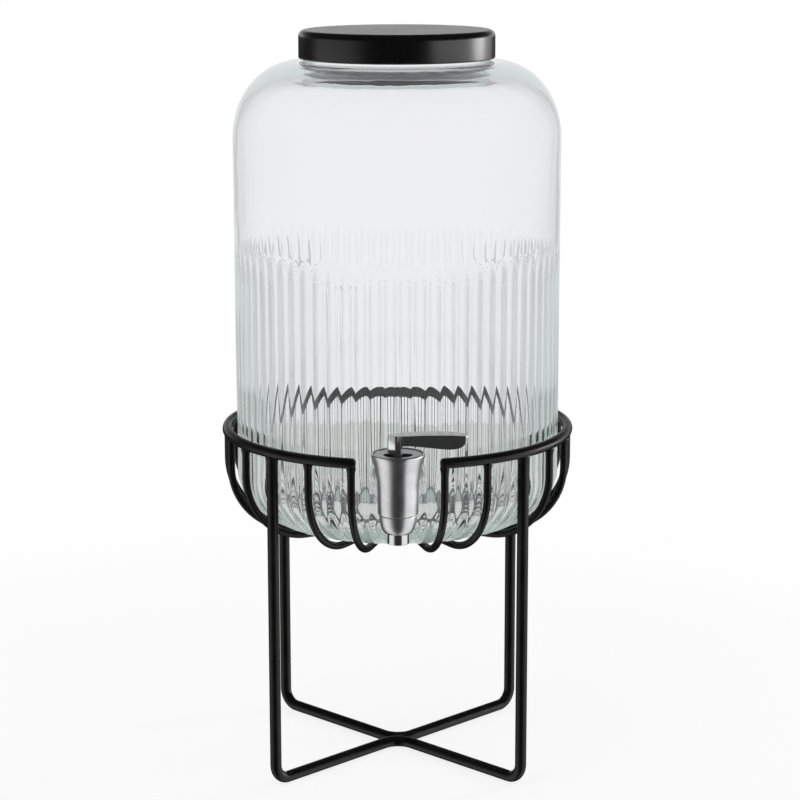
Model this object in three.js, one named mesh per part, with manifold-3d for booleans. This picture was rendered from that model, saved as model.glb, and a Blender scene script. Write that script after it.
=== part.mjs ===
// Glass beverage dispenser: a fluted glass jar with a steel tap and a screw lid, in a bent-wire stand.
// Millimetres, +Z up. The tap faces -Y, and the origin is the centre of the bounding box on the floor.

import * as THREE from 'three';
import { mergeVertices } from 'three/addons/utils/BufferGeometryUtils.js';
import Module from 'manifold-3d';

const wasm = await Module();
wasm.setup();

// Clearances shared by the whole object
const seatGap = 0.3; // between two pieces that touch
const cutOverrun = 1; // how far a cutting tool runs past what it cuts

// Wire stand: an open ring on four legs, with ribs that bend in under the jar
const ringWire = 6.5;
const ribWire = 4.5;
const legWire = 6;
const ringHeight = 209.6; // of the ring wire's centre line
const cradleHeight = 148.5; // of the ribs' level stretch under the jar
const cradleClearance = 3.65; // between the jar and the upright ribs
const ribBendRadius = 41;
const baseRingRadius = 45;
const ringOverhang = 2.7; // of the ring's end past the rib it stands on
const legBendRadius = 10; // where a leg turns into its floor bar
const crossBendRadius = 12; // where two floor bars meet in the middle

// Glass jar
const jarRadius = 100;
const jarWall = 4.2;
const jarFloor = 7;
const jarStraight = 239; // from the foot to where the shoulder begins
const cornerReach = 40; // the foot's round corner, inwards
const cornerRise = 33; // and upwards
const puntRadius = 38;
const puntDepth = 3.5;
const shoulderReach = 39.5;
const shoulderRise = 46;
const neckRadius = 56.5;
const neckWall = 4;
const neckRise = 15.4; // from the top of the shoulder to the rim
const neckRoot = 1.5; // height of the hollow where the shoulder turns up into the neck
const rimRounding = 1.2;
const fluteDepth = 1.2;
const fluteTop = 176; // above the foot
const fluteFade = 14; // length over which a flute runs out at its top
const padRadius = 13.5; // the smooth round pad that the tap seals on
const padProud = 0.5;

// Lid
const lidRadius = 59.6;
const lidHeight = 17.4;
const lidSheet = 1;
const lidCorner = 4;
const lidCurlWidth = 2.4;
const lidCurlHeight = 2.2;
const gasketThickness = 1.9;
const gasketWidth = 11;

// Tap body: heights are from the axis of its tail through the glass
const inletHeight = 48; // of that axis above the jar's foot
const tapReach = 22; // from the jar's side to the tap's own axis
const cupRadius = 15.65;
const cupRise = 21.5;
const lipRounding = 1.3;
const bodyRadius = 12;
const bodyFootRadius = 11.8;
const flareRise = 20; // height over which the body opens out to the cup
const seamDrop = 14.4; // of the seam between body and outlet
const chamberRadius = 8.3;
const socketRadius = 9;
const stubRadius = 9.5;
const flangeRadius = 11.3;
const flangeThickness = 2.4;
const tailRadius = 8;
const tailBore = 6.3;
const tailSpare = 2; // tail that stands out past the nut
const holeClearance = 0.5; // round the tail, in the glass, the washers and the nut
const washerRadius = 11.5;
const washerThickness = 2.5;
const nutFlats = 21;
const nutThickness = 6;

// Tap outlet
const domeRadius = 10.7;
const domeFootRadius = 6.6;
const domeHeight = 11.4;
const nozzleRadius = 5.75;
const nozzleLength = 6.4;
const nozzleBore = 3.7;
const nozzleRounding = 0.5;
const tenonHeight = 3.8;
const valveSeatRadius = 5.5;
const valveSeatDepth = 2;

// Tap bonnet
const bonnetRadius = 14;
const bonnetInset = 0.6; // below the cup's lip
const bonnetThickness = 2.6;
const dishDepth = 1.2;
const dishRadius = 12.5;
const dishFloorRadius = 3;
const bossRadius = 11;
const bossHeight = 6;
const slotLength = 17;
const slotClearance = 0.5; // each side of the lever
const slotFloor = 1.9;

// Valve
const stemRadius = 1.9;
const stemClearance = 0.3;
const bladeThickness = 3;
const bladeRadius = 2.9;
const stemFlatRun = 3; // of the stem's flat sides below its eye
const collarRadius = 5.2;
const collarThickness = 1.2;
const plugRadius = 6.4;
const plugHeight = 6;
const plugBoreDepth = 4.5;
const springWire = 0.9;
const springRadius = 4;

// Lever: lengths are from the pin's axis, which crosses the tap's own axis
const leverWidth = 8.4;
const pinRise = 3.7; // of the pin above the lever's foot
const pinRadius = 1.2;
const pinClearance = 0.3;
const heelLength = 5;
const toeLength = 3.2;
const legBack = 6;
const legFront = 1.6;
const handleReach = 40.4;
const handleTop = 14.8;
const handleCrown = 1.1; // by which the middle of the top stands above its ends
const handleUnderside = 8.6;
const handleBelly = 6.3; // height of the underside's lowest point
const bellyShare = 0.76; // how far along the handle that point lies
const elbowRadius = 2.6;
const tipThickness = 1.2;
const tipRounding = 2; // of the handle's far corners, seen from above
const forkRise = 3.3; // of the slot for the stem's blade, above the pin

// Counts and angles
const ribPitchDegrees = 15;
const legDegrees = 45;
const fluteCount = 72;
const columnsPerFlute = 3;
const innerColumns = 36;
const wireSides = 8;
const ringSides = 8;
const ringSteps = 42;
const ribBendSteps = 5;
const legBendSteps = 4;
const cornerSteps = 5; // of the jar's foot corner
const plainSteps = 3; // of them, below where the flutes begin
const shoulderSteps = 6;
const turnedSides = 24;
const lidSides = 48;
const springTurns = 4;
const springStepsPerTurn = 8;
const springSides = 5;

// Heights that follow
const jarBase = cradleHeight + ribWire / 2 + seatGap;
const ringRadius = jarRadius + cradleClearance + ribWire / 2;
const weldHeight = ringHeight - ringWire / 2 - seatGap;
const shoulderTop = jarStraight + shoulderRise;
const rimHeight = shoulderTop + neckRise;
const jarInnerRadius = jarRadius - jarWall;

// Materials
const blackCoat = new THREE.MeshStandardMaterial({ color: 0x141416, roughness: 0.5, metalness: 0.1 });
const clearGlass = new THREE.MeshStandardMaterial({
  color: 0xe9f0f0, roughness: 0.05, metalness: 0, transparent: true, opacity: 0.35,
});
const blackLid = new THREE.MeshStandardMaterial({ color: 0x1d1c1c, roughness: 0.35, metalness: 0.6 });
const brushedSteel = new THREE.MeshStandardMaterial({ color: 0xb9b9b7, roughness: 0.35, metalness: 1 });
const polishedSteel = new THREE.MeshStandardMaterial({ color: 0xc9c9ca, roughness: 0.15, metalness: 1 });
const whiteSilicone = new THREE.MeshStandardMaterial({ color: 0xe8e8e4, roughness: 0.6, metalness: 0 });

// Tools for solids

/** A curve that an extrusion follows from station to station, so steps fall only where a wire bends. */
class StationPath extends THREE.Curve {
  constructor(stations) {
    super();
    this.stations = stations;
  }

  get steps() {
    return this.stations.length - 1;
  }

  station(share) {
    return this.stations[Math.round(share * this.steps)];
  }

  getPointAt(share, target = new THREE.Vector3()) {
    return target.copy(this.station(share).point);
  }

  getTangentAt(share, target = new THREE.Vector3()) {
    return target.copy(this.station(share).tangent);
  }
}

/** Stations of a wire through corner points, each corner but the ends rounded to its bend radius. */
function bentStations(corners, bendRadii, bendSteps) {
  const stations = [];
  const leaving = (i) => corners[i + 1].clone().sub(corners[i]).normalize();
  stations.push({ point: corners[0], tangent: leaving(0) });
  for (let i = 1; i < corners.length - 1; i += 1) {
    const incoming = leaving(i - 1);
    const outgoing = leaving(i);
    const turn = incoming.angleTo(outgoing);
    const radius = bendRadii[i - 1];
    const start = corners[i].clone().addScaledVector(incoming, -radius * Math.tan(turn / 2));
    const inward = outgoing.clone().addScaledVector(incoming, -Math.cos(turn)).normalize();
    for (let step = 0; step <= bendSteps; step += 1) {
      const angle = (turn * step) / bendSteps;
      stations.push({
        point: start.clone()
          .addScaledVector(incoming, radius * Math.sin(angle))
          .addScaledVector(inward, radius * (1 - Math.cos(angle))),
        tangent: incoming.clone().multiplyScalar(Math.cos(angle)).addScaledVector(inward, Math.sin(angle)),
      });
    }
  }
  stations.push({ point: corners[corners.length - 1], tangent: leaving(corners.length - 2) });
  return stations;
}

/** A regular section whose flats lie one wire diameter apart, turned so that flats face its axes. */
function wireSection(diameter, sides) {
  const corner = diameter / 2 / Math.cos(Math.PI / sides);
  const section = new THREE.Shape();
  for (let i = 0; i < sides; i += 1) {
    const angle = ((2 * i + 1) * Math.PI) / sides;
    const move = i === 0 ? 'moveTo' : 'lineTo';
    section[move](corner * Math.cos(angle), corner * Math.sin(angle));
  }
  return section;
}

/** A wire of the given diameter along stations. */
function wire(stations, diameter, sides = wireSides) {
  const path = new StationPath(stations);
  return new THREE.ExtrudeGeometry(wireSection(diameter, sides), {
    steps: path.steps, extrudePath: path, bevelEnabled: false,
  });
}

/** A solid of revolution about Y from points given as [radius, height]. */
function turnedAboutY(profile, sides = turnedSides) {
  return new THREE.LatheGeometry(profile.map(([radius, height]) => new THREE.Vector2(radius, height)), sides);
}

/** The same about Z. */
function turned(profile, sides = turnedSides) {
  return turnedAboutY(profile, sides).rotateX(Math.PI / 2);
}

/** A full cylinder about Z between two heights. */
function rod(radius, bottom, top, sides = turnedSides) {
  return turned([[0, bottom], [radius, bottom], [radius, top], [0, top]], sides);
}

/** A full cylinder about Y between two places. */
function crossRod(radius, from, to, sides = turnedSides) {
  return turnedAboutY([[0, from], [radius, from], [radius, to], [0, to]], sides);
}

/** Points of an elliptic quarter or part of one, as [radius, height]; angles are from straight down. */
function ellipse(centre, reach, rise, fromDegrees, toDegrees, steps) {
  return Array.from({ length: steps + 1 }, (_, i) => {
    const angle = THREE.MathUtils.degToRad(fromDegrees + ((toDegrees - fromDegrees) * i) / steps);
    return [centre[0] + reach * Math.sin(angle), centre[1] - rise * Math.cos(angle)];
  });
}

/** A geometry's merged, non-degenerate triangles as a solid that can be cut and joined. */
function solid(geometry) {
  const bare = geometry.clone();
  bare.deleteAttribute('normal');
  bare.deleteAttribute('uv');
  const merged = mergeVertices(bare);
  const corners = merged.index.array;
  const kept = [];
  for (let i = 0; i < corners.length; i += 3) {
    const [a, b, c] = corners.slice(i, i + 3);
    if (a !== b && b !== c && c !== a) kept.push(a, b, c);
  }
  return new wasm.Manifold(new wasm.Mesh({
    numProp: 3, vertProperties: merged.attributes.position.array, triVerts: new Uint32Array(kept),
  }));
}

/** A solid's triangles as a geometry. */
function geometryOf(body) {
  const mesh = body.getMesh();
  const geometry = new THREE.BufferGeometry();
  geometry.setAttribute('position', new THREE.BufferAttribute(mesh.vertProperties, 3));
  geometry.setIndex(new THREE.BufferAttribute(mesh.triVerts, 1));
  geometry.computeVertexNormals();
  return geometry;
}

/** Names a piece, gives it its finish and puts it in its group. */
function addPiece(group, name, geometry, material) {
  const piece = new THREE.Mesh(geometry, material);
  piece.name = name;
  group.add(piece);
}

// Wire stand

/** The open top ring, whose ends lie just past the two front ribs. */
function topRing() {
  const overhang = ringOverhang / ringRadius;
  const start = THREE.MathUtils.degToRad(ribPitchDegrees) - overhang;
  const sweep = 2 * (Math.PI - start);
  return Array.from({ length: ringSteps + 1 }, (_, i) => {
    const angle = start + (sweep * i) / ringSteps;
    return {
      point: new THREE.Vector3(ringRadius * Math.sin(angle), -ringRadius * Math.cos(angle), ringHeight),
      tangent: new THREE.Vector3(Math.cos(angle), Math.sin(angle), 0),
    };
  });
}

/** One rib, which drops from the ring, bends in under the jar and ends on the base ring. */
function rib(degrees) {
  const inner = baseRingRadius + ribWire / 2 + seatGap;
  const stations = bentStations(
    [new THREE.Vector3(0, -ringRadius, weldHeight), new THREE.Vector3(0, -ringRadius, cradleHeight),
      new THREE.Vector3(0, -inner, cradleHeight)],
    [ribBendRadius], ribBendSteps);
  return wire(stations, ribWire).rotateZ(THREE.MathUtils.degToRad(degrees));
}

/** One leg frame: down a leg, in along the floor, round the middle, out again and up the other leg. */
function legFrame() {
  const floor = legWire / 2;
  const crossing = crossBendRadius * (Math.SQRT2 - 1) - legWire / 2 - seatGap / 2;
  const side = ringRadius * Math.sin(THREE.MathUtils.degToRad(legDegrees));
  const leg = (x, z) => new THREE.Vector3(x, crossing - side, z);
  return bentStations(
    [leg(-side, weldHeight), leg(-side, floor), new THREE.Vector3(0, crossing, floor),
      leg(side, floor), leg(side, weldHeight)],
    [legBendRadius, crossBendRadius, legBendRadius], legBendSteps);
}

const stand = new THREE.Group();
addPiece(stand, 'top_ring', wire(topRing(), ringWire, ringSides), blackCoat);
const halfTurnRibs = Math.round(180 / ribPitchDegrees);
for (let i = 1; i <= halfTurnRibs; i += 1) {
  const degrees = i * ribPitchDegrees;
  const standsOnLeg = degrees === legDegrees || degrees === 180 - legDegrees;
  if (!standsOnLeg && degrees < 180) {
    addPiece(stand, `rib_right_${degrees}`, rib(degrees), blackCoat);
    addPiece(stand, `rib_left_${degrees}`, rib(-degrees), blackCoat);
  }
}
addPiece(stand, 'rib_back', rib(180), blackCoat);
const baseRingCorner = ribWire / 2 / Math.cos(Math.PI / wireSides);
const baseRingProfile = Array.from({ length: wireSides + 1 }, (_, i) => {
  const angle = ((2 * i + 1) * Math.PI) / wireSides;
  return [baseRingRadius + baseRingCorner * Math.cos(angle), baseRingCorner * Math.sin(angle)];
});
addPiece(stand, 'base_ring', turned(baseRingProfile).translate(0, 0, cradleHeight), blackCoat);
addPiece(stand, 'front_leg_frame', wire(legFrame(), legWire), blackCoat);
addPiece(stand, 'rear_leg_frame', wire(legFrame(), legWire).rotateZ(Math.PI), blackCoat);

// Glass jar, drawn from its foot upwards

/** One hoop of points; on a fluted hoop the columns between two crests lie deeper by the given depth. */
function hoop(columns, radius, height, depth = 0) {
  return Array.from({ length: columns }, (_, i) => {
    const angle = (2 * Math.PI * i) / columns;
    const reach = i % columnsPerFlute === 0 ? radius : radius - depth;
    return new THREE.Vector3(reach * Math.sin(angle), -reach * Math.cos(angle), height);
  });
}

/** A closed skin over hoops in order; a hoop may have any whole multiple of its neighbour's columns. */
function skin(hoops) {
  const positions = [];
  const triangles = [];
  const starts = hoops.map((points) => {
    const start = positions.length / 3;
    points.forEach((point) => positions.push(point.x, point.y, point.z));
    return start;
  });
  for (let h = 0; h + 1 < hoops.length; h += 1) {
    const lower = hoops[h].length;
    const upper = hoops[h + 1].length;
    const columns = Math.max(lower, upper);
    const below = (i) => starts[h] + (Math.floor((i * lower) / columns) % lower);
    const above = (i) => starts[h + 1] + (Math.floor((i * upper) / columns) % upper);
    for (let i = 0; i < columns; i += 1) {
      if (below(i) !== below(i + 1)) triangles.push(below(i), below(i + 1), above(i));
      if (above(i) !== above(i + 1)) triangles.push(below(i + 1), above(i + 1), above(i));
    }
  }
  const geometry = new THREE.BufferGeometry();
  geometry.setAttribute('position', new THREE.Float32BufferAttribute(positions, 3));
  geometry.setIndex(triangles);
  return geometry;
}

/** The jar's whole surface, from under its foot, up its fluted side, over the rim and down inside. */
function jarSkin() {
  const fine = fluteCount * columnsPerFlute;
  const footRadius = jarRadius - cornerReach;
  const shoulderInset = jarRadius - shoulderReach;
  const hoops = [hoop(1, 0, puntDepth), hoop(fluteCount, puntRadius, 0)];
  const corner = ellipse([footRadius, cornerRise], cornerReach, cornerRise, 0, 90, cornerSteps);
  corner.forEach(([radius, height], i) => {
    const fade = Math.max(0, (i - plainSteps) / (cornerSteps - plainSteps));
    hoops.push(hoop(i < plainSteps ? fluteCount : fine, radius, height, fluteDepth * fade));
  });
  hoops.push(hoop(fine, jarRadius, fluteTop - fluteFade, fluteDepth));
  hoops.push(hoop(fine, jarRadius, fluteTop));
  ellipse([shoulderInset, jarStraight], shoulderReach, shoulderRise, 90, 180, shoulderSteps)
    .forEach(([radius, height]) => hoops.push(hoop(fluteCount, radius, height)));
  const rootRadius = neckRadius + neckRoot;
  hoops.push(hoop(fluteCount, rootRadius - neckRoot * Math.SQRT1_2, shoulderTop + neckRoot * (1 - Math.SQRT1_2)));
  hoops.push(hoop(fluteCount, neckRadius, shoulderTop + neckRoot));
  hoops.push(hoop(fluteCount, neckRadius, rimHeight - rimRounding));
  hoops.push(hoop(fluteCount, neckRadius - rimRounding, rimHeight));
  const mouth = neckRadius - neckWall;
  hoops.push(hoop(fluteCount, mouth + rimRounding, rimHeight));
  hoops.push(hoop(innerColumns, mouth, rimHeight - rimRounding));
  hoops.push(hoop(innerColumns, mouth, shoulderTop));
  const innerShoulder = ellipse(
    [shoulderInset, jarStraight], shoulderReach - jarWall, shoulderRise - jarWall, 90, 180, 5).reverse();
  innerShoulder.forEach(([radius, height]) => hoops.push(hoop(innerColumns, radius, height)));
  const innerCorner = ellipse(
    [footRadius, cornerRise], cornerReach - jarWall, cornerRise - jarFloor, 0, 90, 4).reverse();
  innerCorner.forEach(([radius, height]) => hoops.push(hoop(innerColumns, radius, height)));
  hoops.push(hoop(1, 0, jarFloor));
  return skin(hoops);
}

/** The glass, with the smooth pad outside and the round hole that the tap's tail goes through. */
function glassJar() {
  const padRoot = jarRadius - jarWall / 2;
  const pad = crossRod(padRadius, -jarRadius - padProud, -padRoot).translate(0, 0, inletHeight);
  const hole = crossRod(tailRadius + holeClearance, -jarRadius - padProud - cutOverrun, -neckRadius)
    .translate(0, 0, inletHeight);
  return geometryOf(solid(jarSkin()).add(solid(pad)).subtract(solid(hole)));
}

const jar = new THREE.Group();
jar.position.z = jarBase;
addPiece(jar, 'glass_jar', glassJar(), clearGlass);

// Tap, drawn round its own upright axis with the tail's axis at height zero

const flareShares = [[0, 0], [0.3, 0.15], [0.635, 0.53], [1, 1]];
const padFace = tapReach - padProud;
const outerWasherEnd = padFace - seatGap;
const flangeEnd = outerWasherEnd - washerThickness - seatGap;
const innerSag = jarInnerRadius * (1 - Math.cos(Math.PI / innerColumns))
  + jarInnerRadius - Math.sqrt(jarInnerRadius ** 2 - washerRadius ** 2);
const innerWasherStart = tapReach + jarWall + innerSag + seatGap;
const nutStart = innerWasherStart + washerThickness + seatGap;
const tailEnd = nutStart + nutThickness + tailSpare;
const bonnetTop = cupRise - bonnetInset;
const discBottom = bonnetTop - bonnetThickness;
const bossBottom = discBottom - bossHeight;
const slotBottom = bossBottom + slotFloor;
const pinHeight = slotBottom + seatGap + pinRise;
const tenonTop = -seamDrop + tenonHeight;
const plugFoot = tenonTop + seatGap;
const plugTop = plugFoot + plugHeight;
const collarBottom = plugTop + seatGap;
const collarTop = collarBottom + collarThickness;

/** The body: a turned cup with its tail, hollowed for the bonnet, the valve and the outlet's tenon. */
function tapBody() {
  const flareStart = cupRise - lipRounding - flareRise;
  const flare = flareShares.map(([rise, swell]) => [
    bodyRadius + (cupRadius - bodyRadius) * swell, flareStart + flareRise * rise]);
  const cup = turned([
    [0, -seamDrop], [bodyFootRadius, -seamDrop], ...flare,
    [cupRadius - lipRounding / 2, cupRise], [0, cupRise]]);
  const tail = turnedAboutY([
    [0, 0], [stubRadius, 0], [stubRadius, flangeEnd - flangeThickness],
    [flangeRadius, flangeEnd - flangeThickness], [flangeRadius, flangeEnd],
    [tailRadius, flangeEnd], [tailRadius, tailEnd], [0, tailEnd]]);
  const hollow = turned([
    [0, -seamDrop - cutOverrun], [socketRadius, -seamDrop - cutOverrun], [socketRadius, tenonTop + seatGap],
    [chamberRadius, tenonTop + seatGap], [chamberRadius, bossBottom - seatGap],
    [bossRadius + seatGap, bossBottom - seatGap], [bossRadius + seatGap, discBottom - seatGap],
    [bonnetRadius + seatGap, discBottom - seatGap], [bonnetRadius + seatGap, cupRise + cutOverrun],
    [0, cupRise + cutOverrun]]);
  const bore = crossRod(tailBore, 0, tailEnd + cutOverrun, turnedSides / 2);
  return geometryOf(solid(cup).add(solid(tail)).subtract(solid(hollow)).subtract(solid(bore)));
}

/** The outlet: dome, nozzle and the tenon that carries the valve's seat. */
function tapOutlet() {
  const shoulder = -seamDrop - seatGap;
  const domeFoot = -seamDrop - domeHeight;
  const nozzleTip = domeFoot - nozzleLength;
  const dome = ellipse([domeFootRadius, shoulder], domeRadius - domeFootRadius, shoulder - domeFoot, 0, 90, 5);
  const profile = [
    [nozzleBore, nozzleTip], [nozzleRadius - nozzleRounding, nozzleTip],
    [nozzleRadius, nozzleTip + nozzleRounding], [nozzleRadius, domeFoot], ...dome,
    [socketRadius - seatGap, shoulder], [socketRadius - seatGap, tenonTop],
    [valveSeatRadius, tenonTop], [nozzleBore, tenonTop - valveSeatDepth], [nozzleBore, nozzleTip]];
  return turned(profile);
}

/** A block about Z with round ends, long in X. */
function roundEnded(length, width, bottom, top) {
  const run = length / 2 - width / 2;
  const outline = new THREE.Shape();
  outline.absarc(run, 0, width / 2, -Math.PI / 2, Math.PI / 2);
  outline.absarc(-run, 0, width / 2, Math.PI / 2, (3 * Math.PI) / 2);
  const block = new THREE.ExtrudeGeometry(outline, {
    depth: top - bottom, bevelEnabled: false, curveSegments: turnedSides / 4,
  });
  return block.translate(0, 0, bottom);
}

/** The bonnet: a dished disc on a boss, slotted for the lever and bored for the stem. */
function tapBonnet() {
  const dish = bonnetTop - dishDepth;
  const blank = turned([
    [0, bossBottom], [bossRadius, bossBottom], [bossRadius, discBottom], [bonnetRadius, discBottom],
    [bonnetRadius, bonnetTop], [dishRadius, bonnetTop], [dishFloorRadius, dish], [0, dish]]);
  const slot = roundEnded(slotLength, leverWidth + 2 * slotClearance, slotBottom, bonnetTop + cutOverrun);
  const hole = rod(stemRadius + stemClearance, bossBottom - cutOverrun, bonnetTop + cutOverrun, turnedSides / 2);
  return geometryOf(solid(blank).subtract(solid(slot)).subtract(solid(hole)));
}

/** An outline in X and Z, made as thick as asked about the plane of the tap's axis. */
function upright(outline, thickness) {
  const plate = new THREE.ExtrudeGeometry(outline, {
    depth: thickness, bevelEnabled: false, curveSegments: turnedSides / 4,
  });
  return plate.translate(0, 0, -thickness / 2).rotateX(Math.PI / 2);
}

/** The stem: a rod with a collar for the spring, and a flat eye at its top that the lever is pinned to. */
function valveStem() {
  const stemFoot = plugTop - plugBoreDepth + seatGap;
  const bladeFoot = slotBottom + seatGap;
  const shank = turned([
    [0, stemFoot], [stemRadius, stemFoot], [stemRadius, collarBottom], [collarRadius, collarBottom],
    [collarRadius, collarTop], [stemRadius, collarTop], [stemRadius, pinHeight], [0, pinHeight]], turnedSides / 2);
  const eye = new THREE.Shape();
  eye.moveTo(-bladeRadius, bladeFoot);
  eye.lineTo(bladeRadius, bladeFoot);
  eye.lineTo(bladeRadius, pinHeight);
  eye.absarc(0, pinHeight, bladeRadius, 0, Math.PI);
  const blade = upright(eye, bladeThickness);
  const flatFoot = bladeFoot - stemFlatRun;
  const trim = upright(new THREE.Shape([
    new THREE.Vector2(-bladeRadius, flatFoot), new THREE.Vector2(bladeRadius, flatFoot),
    new THREE.Vector2(bladeRadius, pinHeight + bladeRadius),
    new THREE.Vector2(-bladeRadius, pinHeight + bladeRadius)]), 2 * stemRadius + cutOverrun);
  const core = upright(new THREE.Shape([
    new THREE.Vector2(-stemRadius, flatFoot), new THREE.Vector2(stemRadius, flatFoot),
    new THREE.Vector2(stemRadius, bladeFoot), new THREE.Vector2(-stemRadius, bladeFoot)]), bladeThickness);
  const sides = solid(trim).subtract(solid(blade)).subtract(solid(core));
  const pinHole = crossRod(pinRadius + pinClearance, -stemRadius - cutOverrun, stemRadius + cutOverrun,
    turnedSides / 2).translate(0, 0, pinHeight);
  return geometryOf(solid(shank).add(solid(blade)).subtract(sides).subtract(solid(pinHole)));
}

/** The silicone plug, whose cone lies in the outlet's seat. */
function valvePlug() {
  const slack = seatGap * Math.SQRT2;
  const tip = tenonTop - valveSeatDepth + seatGap;
  const bore = stemRadius + seatGap;
  return turned([
    [0, tip], [nozzleBore - slack / 2, tip], [valveSeatRadius - slack, plugFoot - seatGap],
    [valveSeatRadius - slack, plugFoot], [plugRadius, plugFoot], [plugRadius, plugTop],
    [bore, plugTop], [bore, plugTop - plugBoreDepth], [0, plugTop - plugBoreDepth]], turnedSides / 2);
}

/** The closing spring round the stem, from its collar up to the bonnet. */
function valveSpring() {
  const low = collarTop + seatGap + springWire / 2;
  const high = bossBottom - seatGap - springWire / 2;
  const steps = springTurns * springStepsPerTurn;
  const climb = (high - low) / (2 * Math.PI * springTurns);
  const stations = Array.from({ length: steps + 1 }, (_, i) => {
    const angle = (2 * Math.PI * i) / springStepsPerTurn;
    return {
      point: new THREE.Vector3(springRadius * Math.cos(angle), springRadius * Math.sin(angle), low + climb * angle),
      tangent: new THREE.Vector3(
        -springRadius * Math.sin(angle), springRadius * Math.cos(angle), climb).normalize(),
    };
  });
  return wire(stations, springWire, springSides);
}

/** The lever: an upright leg with a flat foot, and a handle whose underside swells towards the tip. */
function tapLever() {
  const side = new THREE.Shape();
  side.moveTo(-heelLength, -pinRise);
  side.lineTo(toeLength - pinRise / 2, -pinRise);
  side.quadraticCurveTo(toeLength, -pinRise, toeLength, -pinRise / 2);
  side.quadraticCurveTo(toeLength, pinRise / 2, legFront, pinRise);
  side.lineTo(legFront, handleUnderside - elbowRadius);
  side.quadraticCurveTo(legFront, handleUnderside, legFront + elbowRadius, handleUnderside);
  const bellyReach = handleReach * bellyShare;
  side.bezierCurveTo(
    bellyReach / 2, handleUnderside, bellyReach - elbowRadius * 2, handleBelly, bellyReach, handleBelly);
  side.quadraticCurveTo(
    handleReach - tipThickness, handleBelly, handleReach - tipThickness, handleTop - handleCrown - tipThickness);
  side.lineTo(handleReach, handleTop - handleCrown - tipThickness / 2);
  side.lineTo(handleReach, handleTop - handleCrown);
  side.quadraticCurveTo(handleReach / 2, handleTop + handleCrown, legFront - legBack, handleTop - handleCrown / 2);
  side.quadraticCurveTo(-legBack, handleTop - handleCrown, -legBack, handleTop - elbowRadius);
  side.lineTo(-legBack, 0);
  side.lineTo(-heelLength, -pinRise);
  const half = leverWidth / 2;
  const above = new THREE.Shape();
  above.absarc(half - legBack, 0, half, Math.PI / 2, (3 * Math.PI) / 2);
  above.absarc(handleReach - tipRounding, tipRounding - half, tipRounding, -Math.PI / 2, 0);
  above.absarc(handleReach - tipRounding, half - tipRounding, tipRounding, 0, Math.PI / 2);
  const plan = new THREE.ExtrudeGeometry(above, {
    depth: handleTop + handleCrown + pinRise + 2 * cutOverrun, bevelEnabled: false, curveSegments: turnedSides / 4,
  }).translate(0, 0, -pinRise - cutOverrun);
  const fork = new THREE.BoxGeometry(
    2 * (legBack + cutOverrun), bladeThickness + 2 * pinClearance, forkRise + pinRise + cutOverrun);
  fork.translate(0, 0, (forkRise - pinRise - cutOverrun) / 2);
  const pinHole = crossRod(pinRadius + pinClearance, -leverWidth, leverWidth, turnedSides / 2);
  const lever = solid(upright(side, leverWidth)).intersect(solid(plan))
    .subtract(solid(fork)).subtract(solid(pinHole));
  return geometryOf(lever).translate(0, 0, pinHeight);
}

/** A ring about Y that the tail passes through. */
function washer(start) {
  const bore = tailRadius + holeClearance;
  const end = start + washerThickness;
  return turnedAboutY([[bore, start], [washerRadius, start], [washerRadius, end], [bore, end], [bore, start]]);
}

/** The hexagon nut inside the jar. */
function lockNut() {
  const bore = tailRadius + holeClearance;
  const outline = new THREE.Shape();
  outline.setFromPoints(Array.from({ length: 6 }, (_, i) => {
    const angle = (i * Math.PI) / 3;
    const corner = nutFlats / 2 / Math.cos(Math.PI / 6);
    return new THREE.Vector2(corner * Math.cos(angle), corner * Math.sin(angle));
  }));
  outline.holes.push(new THREE.Path().absarc(0, 0, bore, 0, 2 * Math.PI));
  const nut = new THREE.ExtrudeGeometry(outline, {
    depth: nutThickness, bevelEnabled: false, curveSegments: turnedSides / 2,
  });
  return nut.rotateX(-Math.PI / 2).translate(0, nutStart, 0);
}

const tap = new THREE.Group();
tap.position.set(0, -jarRadius - tapReach, inletHeight);
jar.add(tap);
const pinLength = leverWidth - 2 * seatGap;
addPiece(tap, 'tap_body', tapBody(), brushedSteel);
addPiece(tap, 'tap_outlet', tapOutlet(), polishedSteel);
addPiece(tap, 'tap_bonnet', tapBonnet(), brushedSteel);
addPiece(tap, 'valve_stem', valveStem(), polishedSteel);
addPiece(tap, 'valve_plug', valvePlug(), whiteSilicone);
addPiece(tap, 'valve_spring', valveSpring(), polishedSteel);
addPiece(tap, 'tap_lever', tapLever(), polishedSteel);
addPiece(tap, 'lever_pin', crossRod(pinRadius, -pinLength / 2, pinLength / 2, turnedSides / 2)
  .translate(0, 0, pinHeight), polishedSteel);
addPiece(tap, 'outer_washer', washer(outerWasherEnd - washerThickness), whiteSilicone);
addPiece(tap, 'inner_washer', washer(innerWasherStart), whiteSilicone);
addPiece(tap, 'lock_nut', lockNut(), brushedSteel);

// Lid, drawn from the jar's rim upwards

/** The lid shell: a flat top with a round corner and a skirt curled in at its lower edge. */
function lidShell() {
  const top = gasketThickness + 2 * seatGap + lidSheet;
  const bottom = top - lidHeight;
  const inner = lidRadius - lidSheet;
  const outerCorner = ellipse([lidRadius - lidCorner, top - lidCorner], lidCorner, lidCorner, 90, 180, 4);
  const innerBend = lidCorner - lidSheet;
  const innerCorner = ellipse([lidRadius - lidCorner, top - lidCorner], innerBend, innerBend, 90, 180, 3).reverse();
  const curl = lidRadius - lidCurlWidth;
  const profile = [
    [0, top - lidSheet], ...innerCorner, [inner, bottom + lidCurlHeight + lidSheet],
    [curl, bottom + lidCurlHeight], [curl, bottom + lidSheet / 2], [curl + lidSheet / 2, bottom],
    [lidRadius - lidSheet / 2, bottom], [lidRadius, bottom + lidSheet / 2], ...outerCorner, [0, top]];
  return turned(profile, lidSides);
}

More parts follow.
